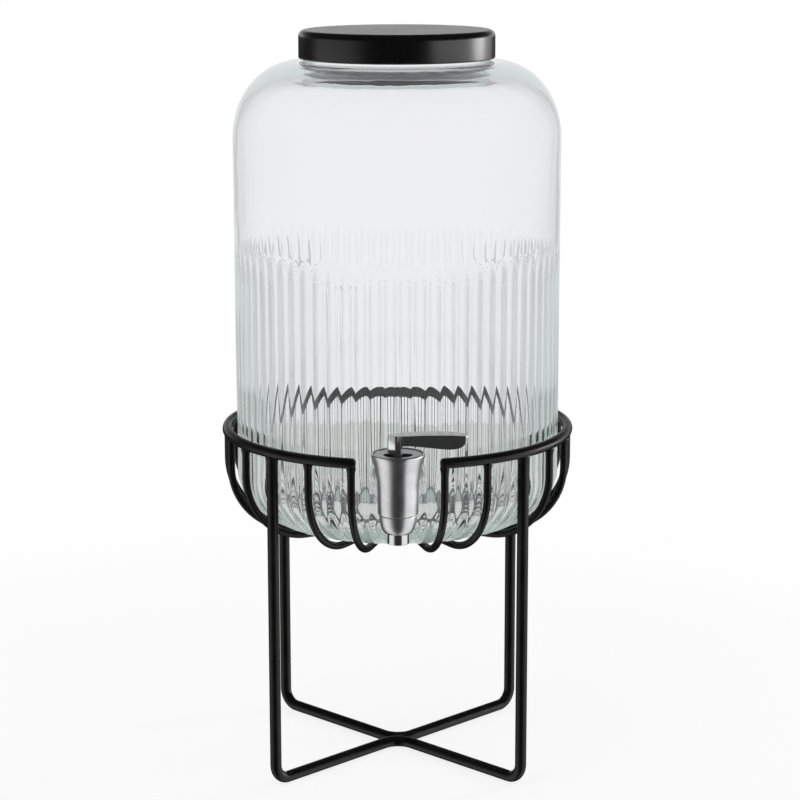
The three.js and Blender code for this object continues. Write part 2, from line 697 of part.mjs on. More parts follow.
const lid = new THREE.Group();
lid.position.z = jarBase + rimHeight;
const gasketRadius = lidRadius - lidCorner - seatGap;
addPiece(lid, 'lid_shell', lidShell(), blackLid);
addPiece(lid, 'lid_gasket', turned([
  [gasketRadius - gasketWidth, seatGap], [gasketRadius, seatGap], [gasketRadius, seatGap + gasketThickness],
  [gasketRadius - gasketWidth, seatGap + gasketThickness], [gasketRadius - gasketWidth, seatGap]],
lidSides), whiteSilicone);

// The tap stands out further in front than the ring does behind, so the whole is moved to centre it
const frontReach = jarRadius + tapReach + cupRadius;
const backReach = ringRadius + ringWire / 2;
const dispenser = new THREE.Group();
dispenser.position.y = (frontReach - backReach) / 2;
dispenser.add(stand, jar, lid);

export default dispenser;
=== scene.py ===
"""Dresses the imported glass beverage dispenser: smooth wires, fluted glass, turned tap and pressed lid.

Shapes are worked out in millimetres in the part's own frame and put into their meshes in metres.
"""

import logging
import math
from collections.abc import Callable
from dataclasses import dataclass
from enum import Enum

import bpy
import numpy as np
from bpy.types import Material, Mesh, Object, World
from mathutils import Matrix


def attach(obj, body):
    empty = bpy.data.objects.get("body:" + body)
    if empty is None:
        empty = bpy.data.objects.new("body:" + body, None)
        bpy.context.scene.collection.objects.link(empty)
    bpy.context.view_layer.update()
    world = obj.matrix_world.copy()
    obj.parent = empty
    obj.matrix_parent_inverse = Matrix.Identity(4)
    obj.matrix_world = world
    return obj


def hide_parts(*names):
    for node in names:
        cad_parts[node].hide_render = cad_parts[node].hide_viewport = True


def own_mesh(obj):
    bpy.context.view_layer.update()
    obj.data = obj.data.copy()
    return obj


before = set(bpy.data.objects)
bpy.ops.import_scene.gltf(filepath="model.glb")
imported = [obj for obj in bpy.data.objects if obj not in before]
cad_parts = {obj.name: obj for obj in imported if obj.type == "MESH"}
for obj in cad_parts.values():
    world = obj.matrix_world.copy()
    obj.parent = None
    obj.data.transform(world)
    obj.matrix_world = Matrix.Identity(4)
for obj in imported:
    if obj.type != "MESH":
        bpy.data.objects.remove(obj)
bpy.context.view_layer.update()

log = logging.getLogger("dispenser")
Array = np.ndarray
Point = tuple[float, float, float]
Shade = tuple[float, float, float, float]
METRES = 0.001  # the length of a millimetre
MIDDLE = 14.25  # of the stand, the jar and the lid, along y
TAP_CENTRE = (0.0, -107.75, 199.05)
UP = np.array([0.0, 0.0, 1.0])


class Body(Enum):
    """The moving bodies that pieces ride on."""

    STAND = "stand"
    JAR = "jar"
    VALVE = "valve"
    LEVER = "lever"
    LID_SEAL = "lid_seal"
    LID = "lid"


class Axis(Enum):
    """The axis that a turned piece is made about."""

    Y = "y"
    Z = "z"


# Curves and surfaces as whole arrays


def unit(vectors: Array) -> Array:
    """Each vector over its own length."""
    return vectors / np.linalg.norm(vectors, axis=-1, keepdims=True)


def bent(corners: Array, radii: list[float] | Array, steps: int) -> tuple[Array, Array]:
    """Points and directions along straight runs joined by arcs.

    A corner turns by t: its arc starts at corner - r tan(t / 2) * incoming, and its point at an angle a
    is start + r sin(a) * incoming + r (1 - cos(a)) * inward, for a from 0 to t.

    Args:
        corners: the ends and the corners between them, one a row.
        radii: the bend radius at each corner but the ends.
        steps: how many steps each arc has.

    Returns:
        The points and the unit directions at them.
    """
    corners = np.asarray(corners, float)
    incoming = unit(corners[1:-1] - corners[:-2])
    outgoing = unit(corners[2:] - corners[1:-1])
    cosine = np.clip((incoming * outgoing).sum(1), -1, 1)[:, None]
    turn = np.arccos(cosine)
    radius = np.asarray(radii, float)[:, None]
    start = corners[1:-1] - radius * np.tan(turn / 2) * incoming
    inward = unit(outgoing - cosine * incoming)
    angle = (turn * np.linspace(0, 1, steps + 1))[..., None]
    incoming, inward, radius = incoming[:, None], inward[:, None], radius[:, None]
    arcs = start[:, None] + radius * (np.sin(angle) * incoming + (1 - np.cos(angle)) * inward)
    ways = np.cos(angle) * incoming + np.sin(angle) * inward
    size = corners.shape[1]
    points = np.concatenate([corners[:1], arcs.reshape(-1, size), corners[-1:]])
    ends = unit(corners[1] - corners[0])[None], unit(corners[-1] - corners[-2])[None]
    return points, np.concatenate([ends[0], ways.reshape(-1, size), ends[1]])


def eased(share: Array) -> Array:
    """A share from 0 to 1 made smooth at both ends: 3 s^2 - 2 s^3."""
    return share**2 * (3 - 2 * share)


def rounded(corners: list[tuple[float, float]], radii: float | list[float], steps: int) -> Array:
    """A profile in [radius, height] whose inner corners are arcs, of one radius or one for each."""
    radii = np.broadcast_to(radii, len(corners) - 2)
    return bent(np.asarray(corners, float), radii, steps)[0]


def ellipse(centre: tuple[float, float], reach: float, rise: float, low: float, high: float,
            steps: int) -> Array:
    """Part of an ellipse: radius = centre + reach sin(a), height = centre - rise cos(a), a in degrees."""
    angle = np.radians(np.linspace(low, high, steps + 1))
    return np.stack([centre[0] + reach * np.sin(angle), centre[1] - rise * np.cos(angle)], 1)


def turned(profile: Array, sides: int, axis: Axis = Axis.Z, centre: Point = (0, 0, 0)) -> Array:
    """Rings of a surface of revolution.

    About Z a profile point (r, h) gives (r sin a, -r cos a, h), and about Y it gives (r sin a, h, r cos a).

    Args:
        profile: radius and height, one point a row.
        sides: how many points each ring has.
        axis: the axis of revolution.
        centre: what is added to every point.

    Returns:
        An array of rings, points and coordinates.
    """
    angle = 2 * np.pi * np.arange(sides) / sides
    radius, height = profile[:, :1], np.repeat(profile[:, 1:], sides, 1)
    across, out = radius * np.sin(angle), radius * np.cos(angle)
    rows = (across, -out, height) if axis is Axis.Z else (across, height, out)
    return np.stack(rows, -1) + np.asarray(centre, float)


def swept(points: Array, ways: Array, across: Array, radii: Array, sides: int) -> Array:
    """Rings of a round wire: point + r (cos a * side + sin a * direction x side).

    Args:
        points: the wire's middle, one point a row.
        ways: its directions.
        across: a direction across the wire at each point, or one for all.
        radii: its radius at each point.
        sides: how many points each ring has.

    Returns:
        An array of rings, points and coordinates.
    """
    across = np.broadcast_to(across, points.shape)
    side = unit(across - ways * (across * ways).sum(1, keepdims=True))
    other = np.cross(ways, side)
    angle = 2 * np.pi * np.arange(sides) / sides
    round_it = np.cos(angle)[None, :, None] * side[:, None] + np.sin(angle)[None, :, None] * other[:, None]
    return points[:, None] + radii[:, None, None] * round_it


def capped(points: Array, ways: Array, across: Array, radii: Array) -> tuple[Array, ...]:
    """Closes a wire flat at both ends, with a ring of no radius in the middle of each.

    Args:
        points: the wire's middle, one point a row.
        ways: its directions.
        across: a direction across the wire at each point, or one for all.
        radii: its radius at each point.

    Returns:
        The same four, with each end twice.
    """
    ends = [0, *range(len(points)), -1]
    across = np.broadcast_to(across, points.shape)
    return points[ends], ways[ends], across[ends], np.concatenate([[0], radii, [0]])


def grid(rows: int, columns: int, looped: bool = False) -> Array:
    """Quads that join rings of points: (i, j), (i, j + 1), (i + 1, j + 1) and (i + 1, j).

    Args:
        rows: how many rings there are.
        columns: how many points a ring has.
        looped: whether the last ring joins the first.

    Returns:
        The numbers of the points, counted ring by ring, one quad a row.
    """
    i, j = np.meshgrid(np.arange(rows if looped else rows - 1), np.arange(columns), indexing="ij")
    k, n = (i + 1) % rows, (j + 1) % columns
    return np.stack([i * columns + j, i * columns + n, k * columns + n, k * columns + j], -1).reshape(-1, 4)


def volume(points: Array, quads: Array, triangles: Array) -> float:
    """Six times the volume inside a closed shape: the sum of a . (b x c) over its triangles."""
    corners = np.concatenate([quads[:, [0, 1, 2]], quads[:, [0, 2, 3]], triangles])
    return float(np.linalg.det(points[corners]).sum())


def smooth(mesh: Mesh, sharp: float) -> None:
    """Shades a mesh smooth, with edges past the given angle in degrees kept sharp."""
    mesh.shade_smooth()
    mesh.set_sharp_from_angle(angle=math.radians(sharp))


def placed(name: str, data: bpy.types.ID) -> Object:
    """Puts a mesh, a camera or a light into the scene.

    Args:
        name: the object's name.
        data: what the object holds.

    Returns:
        The new object.
    """
    made = bpy.data.objects.new(name, data)
    bpy.context.scene.collection.objects.link(made)
    return made


def put_mesh(name: str, points: Array, quads: Array, triangles: Array, sharp: float) -> Object:
    """Makes a closed object of points in millimetres, with its faces turned outwards.

    Args:
        name: the object's name.
        points: its vertices.
        quads: its faces with four corners.
        triangles: its faces with three.
        sharp: the angle in degrees past which an edge is drawn sharp.

    Returns:
        The new object.
    """
    if volume(points, quads, triangles) < 0:
        quads, triangles = quads[:, ::-1], triangles[:, ::-1]
    sizes = np.concatenate([np.full(len(quads), 4), np.full(len(triangles), 3)])
    mesh = bpy.data.meshes.new(name)
    mesh.vertices.add(len(points))
    mesh.vertices.foreach_set("co", (points * METRES).astype(np.float32).ravel())
    corners = np.concatenate([quads.ravel(), triangles.ravel()])
    mesh.loops.add(len(corners))
    mesh.loops.foreach_set("vertex_index", corners.astype(np.int32))
    mesh.polygons.add(len(sizes))
    mesh.polygons.foreach_set("loop_start", (np.cumsum(sizes) - sizes).astype(np.int32))
    mesh.update(calc_edges=True)
    mesh.validate()
    smooth(mesh, sharp)
    return placed(name, mesh)


def put_surface(name: str, rings: Array, looped: bool = False, sharp: float = 40) -> Object:
    """Makes a closed object from rings of points, each joined to the next.

    A looped surface joins its last ring to its first. Any other is closed by fans from the middles of its
    first and last rings.

    Args:
        name: the object's name.
        rings: an array of rings, points and coordinates, in millimetres.
        looped: whether the last ring joins the first.
        sharp: the angle in degrees past which an edge is drawn sharp.

    Returns:
        The new object.
    """
    body = rings if looped else rings[1:-1]
    count, sides = body.shape[:2]
    points, triangles = body.reshape(-1, 3), np.zeros((0, 3), int)
    if not looped:
        along = np.arange(sides)
        after = (along + 1) % sides
        foot, head = len(points), len(points) + 1
        last = (count - 1) * sides
        triangles = np.concatenate([np.stack([np.full(sides, foot), after, along], 1),
                                    np.stack([np.full(sides, head), last + along, last + after], 1)])
        points = np.concatenate([points, rings[0].mean(0)[None], rings[-1].mean(0)[None]])
    return put_mesh(name, points, grid(count, sides, looped), triangles, sharp)


def put_turned(name: str, profile: Array, sides: int, axis: Axis = Axis.Z, centre: Point = (0, 0, 0),
               looped: bool = False, sharp: float = 40) -> Object:
    """Makes a closed surface of revolution, as turned and put_surface take it."""
    return put_surface(name, turned(profile, sides, axis, centre), looped, sharp)


def put_stack(name: str, rings: Array) -> Object:
    """Makes a closed object from a stack of outlines of any shape, flat at both ends.

    Args:
        name: the object's name.
        rings: an array of outlines, points and coordinates, in millimetres.

    Returns:
        The new object.
    """
    levels, count = rings.shape[:2]
    points, quads = rings.reshape(-1, 3), grid(levels, count)
    first = np.arange(count)
    caps = np.stack([first[::-1], first + (levels - 1) * count])
    fans = np.stack([np.repeat(caps[:, :1], count - 2, 1), caps[:, 1:-1], caps[:, 2:]], -1)
    mesh = bpy.data.meshes.new(name)
    mesh.from_pydata((points * METRES).tolist(), [], quads.tolist() + caps.tolist())
    if volume(points, quads, fans.reshape(-1, 3)) < 0:
        mesh.flip_normals()
    return placed(name, mesh)


def put_plate(name: str, outline: Array, low: float, high: float, axis: Axis, centre: Point) -> Object:
    """Makes a straight prism over an outline, between two places on an axis.

    Args:
        name: the object's name.
        outline: its points, in x and y about Z, or in x and z about Y.
        low: where the prism starts on the axis.
        high: where it ends.
        axis: the axis.
        centre: what is added to every point.

    Returns:
        The new object.
    """
    level, across, other = np.broadcast_arrays([[low], [high]], outline[:, 0], outline[:, 1])
    order = (across, other, level) if axis is Axis.Z else (across, level, other)
    return put_stack(name, np.stack(order, -1) + np.asarray(centre, float))


def settle(piece: Object) -> None:
    """Puts the result of a piece's modifiers into its mesh.

    Args:
        piece: the piece.
    """
    graph = bpy.context.evaluated_depsgraph_get()
    mesh = bpy.data.meshes.new_from_object(piece.evaluated_get(graph), depsgraph=graph)
    old = piece.data
    piece.modifiers.clear()
    piece.data = mesh
    mesh.name = piece.name
    bpy.data.meshes.remove(old)


def combine(piece: Object, other: Object, operation: str = "DIFFERENCE") -> None:
    """Cuts, joins or crosses one closed shape with another.

    Args:
        piece: the shape that is changed.
        other: the other shape, which is removed.
        operation: the modifier's name for what is done.
    """
    step = piece.modifiers.new(operation, "BOOLEAN")
    step.operation, step.solver, step.object = operation, "EXACT", other
    bpy.context.view_layer.update()
    settle(piece)
    bpy.data.objects.remove(other)


def bore(piece: Object, radius: float, low: float, high: float, sides: int, axis: Axis,
         centre: Point) -> None:
    """Cuts a round hole of a radius through a piece, from one place on an axis to another."""
    profile = np.array([[0, low], [radius, low], [radius, high], [0, high]])
    combine(piece, put_turned("hole", profile, sides, axis, centre))


def soften(piece: Object, width: float, angle: float, segments: int) -> None:
    """Rounds the edges of a piece.

    Args:
        piece: the piece.
        width: how far the rounding reaches from an edge, in millimetres.
        angle: the angle in degrees past which an edge is rounded.
        segments: how many faces the rounding has.
    """
    step = piece.modifiers.new("edges", "BEVEL")
    step.width, step.segments, step.limit_method = width * METRES, segments, "ANGLE"
    step.angle_limit = math.radians(angle)
    settle(piece)


# Shader maths


def operator(operation: str, swapped: bool = False) -> Callable[["Value", "Value | float"], "Value"]:
    """A method that puts a Value and another value through a Math node.

    Args:
        operation: what the node does.
        swapped: whether the other value comes first.

    Returns:
        The method.
    """
    def method(self: "Value", other: "Value | float") -> "Value":
        """The Math node's result."""
        return self.maths(operation, *((other, self) if swapped else (self, other)))

    return method


class Value:
    """An output of a node, with arithmetic that adds Math nodes to its tree."""

    __add__ = __radd__ = operator("ADD")
    __sub__, __rsub__ = operator("SUBTRACT"), operator("SUBTRACT", True)
    __mul__ = __rmul__ = operator("MULTIPLY")
    __truediv__, __rtruediv__ = operator("DIVIDE"), operator("DIVIDE", True)
    __pow__, greatest, least = operator("POWER"), operator("MAXIMUM"), operator("MINIMUM")

    def __init__(self, tree: "Tree", socket: bpy.types.NodeSocket) -> None:
        """Keeps the tree and the socket."""
        self.tree, self.socket = tree, socket

    def maths(self, operation: str, *values: "Value | float") -> "Value":
        """A Math node on these values."""
        return self.tree.node("ShaderNodeMath", {"operation": operation}, dict(enumerate(values)))

    def size(self) -> "Value":
        """The value without its sign."""
        return self.maths("ABSOLUTE", self)

    def rise(self, low: float, high: float) -> "Value":
        """A smooth step from 0 at low to 1 at high."""
        return self.tree.node("ShaderNodeMapRange", {"interpolation_type": "SMOOTHSTEP"},
                              {0: self, 1: low, 2: high, 3: 0.0, 4: 1.0})

    def band(self, low: float, high: float, edge: float) -> "Value":
        """1 between low and high, with smooth edges of the given width."""
        return self.rise(low - edge / 2, low + edge / 2) * (1 - self.rise(high - edge / 2, high + edge / 2))


class Tree:
    """A node tree that finishes and the world are written in."""

    def __init__(self, owner: Material | World) -> None:
        """Empties the owner's tree.

        Args:
            owner: the material or the world that the tree belongs to.
        """
        owner.use_nodes = True
        self.nodes, self.links = owner.node_tree.nodes, owner.node_tree.links
        self.nodes.clear()
        kind = "World" if isinstance(owner, World) else "Material"
        self.output = "ShaderNodeOutput" + kind

    def node(self, kind: str, settings: dict | None = None, inputs: dict | None = None,
             out: int | str = 0) -> Value:
        """Adds a node, first its settings, then the values or links of its sockets.

        Args:
            kind: the node's type.
            settings: its properties.
            inputs: values, colours or Values by socket name or number.
            out: which output to return, where it has any.

        Returns:
            That output.
        """
        made = self.nodes.new(kind)
        for key, value in (settings or {}).items():
            setattr(made, key, value)
        for key, value in (inputs or {}).items():
            if isinstance(value, Value):
                self.links.new(value.socket, made.inputs[key])
            else:
                made.inputs[key].default_value = value
        return Value(self, made.outputs[out] if made.outputs else None)

    def mix(self, share: Value | float, first: Value | Shade, second: Value | Shade) -> Value:
        """A colour between two others."""
        return self.node("ShaderNodeMix", {"data_type": "RGBA"}, {0: share, 6: first, 7: second}, 2)

    def blend(self, share: Value, first: Value, second: Value) -> Value:
        """A shader between two others."""
        return self.node("ShaderNodeMixShader", inputs={0: share, 1: first, 2: second})

    def glow(self, shade: Shade) -> Value:
        """A shader of plain light."""
        return self.node("ShaderNodeEmission", inputs={"Color": shade, "Strength": 1.0})

    def place(self) -> Value:
        """Object coordinates in metres, which are the part's own."""
        return self.node("ShaderNodeTexCoord", out="Object")

    def parts_of(self, vector: Value) -> tuple[Value, ...]:
        """A vector's x, y and z."""
        outputs = self.node("ShaderNodeSeparateXYZ", inputs={0: vector}).socket.node.outputs
        return tuple(Value(self, socket) for socket in outputs)

    def light_path(self, *names: str) -> tuple[Value, ...]:
        """What is known of the ray, by the names of the node's outputs."""
        outputs = self.node("ShaderNodeLightPath").socket.node.outputs
        return tuple(Value(self, outputs[name]) for name in names)

    def noise(self, vector: Value, scale: float, detail: float, roughness: float = 0.5) -> Value:
        """Noise with so many features to the metre."""
        return self.node("ShaderNodeTexNoise", inputs={
            "Vector": vector, "Scale": scale, "Detail": detail, "Roughness": roughness})

    def stretched(self, vector: Value, scale: Point, centre: Point = (0, 0, 0)) -> Value:
        """Coordinates from a centre, scaled along each axis."""
        return self.node("ShaderNodeMapping", {"vector_type": "POINT"}, {
            "Vector": vector, "Scale": scale, "Location": [-c * s for c, s in zip(centre, scale)]})

    def bump(self, height: Value, distance: float) -> Value:
        """A normal from a height, where 1 is so many metres."""
        return self.node("ShaderNodeBump", inputs={
            "Height": height, "Distance": distance, "Strength": 1.0}, out="Normal")

    def finish(self, surface: Value, **others: Value) -> None:
        """Links the surface's shader to the output, and any other under its socket's name."""
        self.node(self.output, inputs={"Surface": surface, **others})


def colour(red: float, green: float, blue: float) -> Shade:
    """An opaque linear colour."""
    return red, green, blue, 1.0


# Finishes and dressing


@dataclass(frozen=True)
class Coat:
    """A finish whose colour and sheen drift in patches, with a fine grain that also lifts its surface."""

    name: str
    dark: Shade
    light: Shade
    roughness: float
    drift: tuple[float, float] = (160, 3)  # features to the metre and detail, as for the grain
    grain: tuple[float, ...] = (5200, 3, 0.6)
    lift: float = 0.0000015  # of the grain, in metres
    patches: tuple[float, float] | None = (0.3, 0.75)  # the drift between which the colour goes over
    drift_sheen: float = 0.08
    grain_sheen: float = 0.08
    constants: tuple[tuple[str, float], ...] = ()  # of the shader, by socket

    def grained(self, tree: Tree, place: Value) -> Value:
        """The grain at a place."""
        return tree.noise(place, *self.grain)

    def polished(self, tree: Tree, place: Value, shine: Value) -> Value:
        """The roughness at a place, which is the coat's own."""
        return shine

    def make(self) -> Material:
        """Makes the material, whose roughness is its own plus what drift and grain add on both sides.

        Returns:
            The new material.
        """
        made = bpy.data.materials.new(self.name)
        tree = Tree(made)
        place = tree.place()
        drift, grain = tree.noise(place, *self.drift), self.grained(tree, place)
        share = drift.rise(*self.patches) if self.patches else drift
        shine = self.roughness + (drift - 0.5) * self.drift_sheen + (grain - 0.5) * self.grain_sheen
        tree.finish(tree.node("ShaderNodeBsdfPrincipled", inputs={
            "Base Color": tree.mix(share, self.dark, self.light),
            "Roughness": self.polished(tree, place, shine),
            "Normal": tree.bump(grain, self.lift),
            **dict(self.constants),
        }))
        return made


@dataclass(frozen=True)
class Steel(Coat):
    """Stainless steel turned about an axis, with fine rings left by the abrasive."""

    centre: tuple[float, ...] = tuple(METRES * x for x in TAP_CENTRE)
    axis: Axis = Axis.Z
    squeeze: float = 0.02  # of the noise across the axis, so that its grain lies in rings
    polished_below: float | None = None
    polish: float = 0.35  # share of the roughness that is left where it is polished
    constants: tuple[tuple[str, float], ...] = (("Metallic", 1.0),)

    def grained(self, tree: Tree, place: Value) -> Value:
        """The grain at a place, in rings about the axis."""
        scale = (self.squeeze, self.squeeze, 1) if self.axis is Axis.Z else (self.squeeze, 1, self.squeeze)
        return tree.noise(tree.stretched(place, scale, self.centre), *self.grain)

    def polished(self, tree: Tree, place: Value, shine: Value) -> Value:
        """The roughness, less below a height where one is given.

        Args:
            tree: the material's tree.
            place: the coordinates.
            shine: the roughness above it.

        Returns:
            The roughness at the place.
        """
        if self.polished_below is None:
            return shine
        above = tree.parts_of(place)[2].rise(self.polished_below, self.polished_below + 0.0006)
        return shine * (self.polish + (1 - self.polish) * above)


POWDER_COAT = Coat(
    "black_powder_coat", colour(0.0022, 0.0020, 0.0020), colour(0.0055, 0.0050, 0.0047), 0.34,
    drift=(60, 3), grain=(1400, 2), lift=0.00004, patches=(0.35, 0.7), drift_sheen=0.12,
    constants=(("IOR", 1.42), ("Specular IOR Level", 0.3)))
LID_COAT = Coat(
    "lid_black", colour(0.0012, 0.0011, 0.0011), colour(0.0026, 0.0023, 0.0022), 0.27,
    drift=(30, 2), grain=(2600, 2), lift=0.00001, patches=None, drift_sheen=0.06)
SILICONE = Coat(
    "white_silicone", colour(0.68, 0.68, 0.65), colour(0.78, 0.78, 0.75), 0.5,
    drift=(120, 3), grain=(3000, 2), lift=0.00002, patches=None, drift_sheen=0, grain_sheen=0.2,
    constants=(("Subsurface Weight", 0.1), ("Subsurface Scale", 0.003)))
BRUSHED = Steel("brushed_steel", colour(0.50, 0.50, 0.51), colour(0.59, 0.59, 0.60), 0.31)
BRUSHED_NUT = Steel("brushed_steel_nut", colour(0.50, 0.50, 0.51), colour(0.59, 0.59, 0.60), 0.3,
                    axis=Axis.Y)
BRUSHED_DOME = Steel("brushed_steel_dome", colour(0.52, 0.52, 0.53), colour(0.60, 0.60, 0.61), 0.34,
                     polished_below=0.1727)
POLISHED = Steel("polished_steel", colour(0.57, 0.57, 0.57), colour(0.63, 0.63, 0.63), 0.12, lift=0.0000005)


@dataclass(frozen=True)
class JarGlass:
    """Clear pressed glass with a faint grey-green body colour."""

    name: str = "clear_glass"
    tint: Shade = colour(0.78, 0.85, 0.83)
    density: float = 9
    ior: float = 1.5
    shadow: Shade = colour(0.93, 0.95, 0.95)  # of the light that a lamp sends through
    most_turns: float = 3.5  # reflections after which light is taken as caught in the thick glass
    # painted glow in place of light caught in the thick glass: darker near the foot, painted shade under
    # the lid
    painted_glow: Shade = colour(0.62, 0.68, 0.68)
    painted_glow_low: Shade = colour(0.38, 0.44, 0.42)  # near the foot
    painted_lid_shade: Shade = colour(0.09, 0.10, 0.11)  # under the lid
    foot: float = 0.235
    lid_foot: float = 0.4325
    edge: float = 0.002

    def make(self) -> Material:
        """Glass that lets lamps through, with light lost evenly inside it and a painted glow for caught
        light.

        Returns:
            The new material.
        """
        made = bpy.data.materials.new(self.name)
        made.cycles.emission_sampling = "NONE"
        tree = Tree(made)
        place = tree.place()
        ripple = tree.noise(tree.stretched(place, (1, 1, 0.5)), 90, 1)
        glass = tree.node("ShaderNodeBsdfPrincipled", inputs={
            "Base Color": colour(1, 1, 1), "Roughness": 0.0, "IOR": self.ior,
            "Transmission Weight": 1.0, "Normal": tree.bump(ripple, 0.00006),
        })
        turns, shadow = tree.light_path("Glossy Depth", "Is Shadow Ray")
        trapped = turns.maths("GREATER_THAN", turns, self.most_turns)
        # Painted glow and painted shade that the glass shows instead of light caught inside it.
        low, glow, dim = (tree.glow(shade) for shade in (self.painted_glow_low, self.painted_glow, self.painted_lid_shade))
        height = tree.parts_of(place)[2]
        glow = tree.blend(height.rise(self.foot - self.edge, self.foot + self.edge), low, glow)
        glow = tree.blend(height.rise(self.lid_foot - self.edge, self.lid_foot + self.edge), glow, dim)
        solid = tree.blend(trapped, glass, glow)
        clear = tree.node("ShaderNodeBsdfTransparent", inputs={"Color": self.shadow})
        inside = tree.node("ShaderNodeVolumeAbsorption", inputs={
            "Color": self.tint, "Density": self.density})
        tree.finish(tree.blend(shadow, solid, clear), Volume=inside)
        return made


def dress(piece: Object, finish: Material, body: Body, slot: str, *nodes: str) -> Object:
    """Gives a piece its finish and says what it belongs to.

    Args:
        piece: the piece.
        finish: its material.
        body: the body it rides on.
        slot: its slot, which is not used.
        nodes: the CAD nodes that it stands for.

    Returns:
        The piece.
    """
    piece.data.materials.clear()
    piece.data.materials.append(finish)
    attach(piece, body.value)
    if nodes:
        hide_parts(*nodes)
    return piece


# The wire stand


@dataclass
class WireStand:
    """An open ring on four legs, with ribs that bend in under the jar to a small base ring."""

    middle: float = MIDDLE
    ring_radius: float = 105.8
    ring_height: float = 209.6
    ring_wire: float = 6.4
    rib_wire: float = 4.6
    leg_wire: float = 6.9
    cradle_height: float = 148.5
    rib_bend: float = 41
    base_radius: float = 45
    rib_pitch: float = 15
    rib_angles: tuple[int, ...] = (15, 30, 60, 75, 90, 105, 120, 150, 165)  # from the front, on each side
    leg_angle: float = 45
    ring_overhang: float = 2.7
    leg_bend: float = 10
    cross_bend: float = 12
    cross_gap: float = 0.3
    sunk: float = 1.0  # by which a wire's end lies short of the middle of the wire it is welded to
    bead: float = 0.55
    bead_width: float = 1.9
    bead_run: float = 7  # length at each end of a wire that has stations enough for a bead
    bead_stations: int = 15
    end_rounding: float = 2.2
    end_steps: int = 7
    ring_steps: int = 182
    ring_sides: int = 28
    base_steps: int = 120
    base_sides: int = 20
    sides: int = 24
    bend_steps: int = 20

    def along(self, points: Array, ways: Array) -> tuple[Array, Array]:
        """Adds stations evenly over the first and last stretch of a path, which are straight.

        Args:
            points: the path's points.
            ways: its directions.

        Returns:
            Both, with the new stations.
        """
        count = self.bead_stations
        share = np.linspace(0, self.bead_run, count)[:, None]
        start, end = points[0] + ways[0] * share, points[-1] - ways[-1] * share[::-1]
        first, last = np.repeat(ways[:1], count, 0), np.repeat(ways[-1:], count, 0)
        return np.concatenate([start, points[1:-1], end]), np.concatenate([first, ways[1:-1], last])

    def welded(self, name: str, points: Array, ways: Array, across: Array, wire: float,
               beads: tuple[float, float]) -> Object:
        """A wire whose radius swells to a bead where it meets the wires it is welded to.

        The radius is wire / 2 + bead exp(-((s - place) / width)^2), with s measured from each end.

        Args:
            name: the piece's name.
            points: the wire's middle.
            ways: its directions.
            across: directions across it.
            wire: its diameter.
            beads: how far from each end the bead lies.

        Returns:
            The new piece.
        """
        lengths = np.linalg.norm(np.diff(points, axis=0), axis=1)
        run = np.concatenate([[0], np.cumsum(lengths)])
        swell = sum(np.exp(-(((s - place) / self.bead_width) ** 2))
                    for s, place in ((run, beads[0]), (run[-1] - run, beads[1])))
        radii = wire / 2 + self.bead * swell
        radii[[0, -1]] = radii[[1, -2]]
        return put_surface(name, swept(*capped(points, ways, across, radii), self.sides))

    def ring(self) -> Object:
        """The top ring: a round wire along a circle, open at the front, with rounded ends.

        Near an end the radius is R - e + e sin(t) at e (1 - cos(t)) from the end, for t from 0 to 90
        degrees.

        Returns:
            The new piece.
        """
        start = math.radians(self.rib_pitch) - self.ring_overhang / self.ring_radius
        t = np.linspace(0, np.pi / 2, self.end_steps)
        half, shrink = self.ring_wire / 2, self.end_rounding * (1 - np.sin(t))
        inset = self.end_rounding * (1 - np.cos(t)) / self.ring_radius
        around = np.linspace(start, 2 * np.pi - start, self.ring_steps)[2:-2]
        angle = np.concatenate([[start], start + inset, around,
                                2 * np.pi - start - inset[::-1], [2 * np.pi - start]])
        radii = np.concatenate([[0], half - shrink, np.full(len(around), half), half - shrink[::-1], [0]])
        sine, cosine, flat = np.sin(angle), np.cos(angle), np.zeros(len(angle))
        points = np.stack([self.ring_radius * sine, self.middle - self.ring_radius * cosine,
                           flat + self.ring_height], 1)
        ways = np.stack([cosine, sine, flat], 1)
        return put_surface("stand_ring", swept(points, ways, UP, radii, self.ring_sides))

    def rib(self, degrees: float, name: str) -> Object:
        """A rib: down from the ring, through a quarter circle and level to the base ring.

        Args:
            degrees: its place round the ring, from the front towards +x.
            name: the piece's name.

        Returns:
            The new piece.
        """
        corners = np.array([[self.ring_radius, self.ring_height - self.sunk],
                            [self.ring_radius, self.cradle_height], [self.base_radius, self.cradle_height]])
        flat, ways = self.along(*bent(corners, [self.rib_bend], self.bend_steps))
        turn = math.radians(degrees)
        out = np.array([math.sin(turn), -math.cos(turn), 0])
        points = flat[:, :1] * out + flat[:, 1:] * UP + np.array([0, self.middle, 0])
        across = np.array([math.cos(turn), math.sin(turn), 0])
        beads = self.ring_wire / 2 - self.sunk, self.rib_wire / 2
        return self.welded(name, points, ways[:, :1] * out + ways[:, 1:] * UP, across, self.rib_wire, beads)

    def base_ring(self) -> Object:
        """The ring under the jar: a small circle carried round a large one.

        Returns:
            The new piece.
        """
        angle = 2 * np.pi * np.arange(self.base_sides) / self.base_sides
        profile = np.stack([self.base_radius + self.rib_wire / 2 * np.cos(angle),
                            self.cradle_height + self.rib_wire / 2 * np.sin(angle)], 1)
        centre = (0, self.middle, 0)
        return put_turned("stand_base_ring", profile, self.base_steps, centre=centre, looped=True)

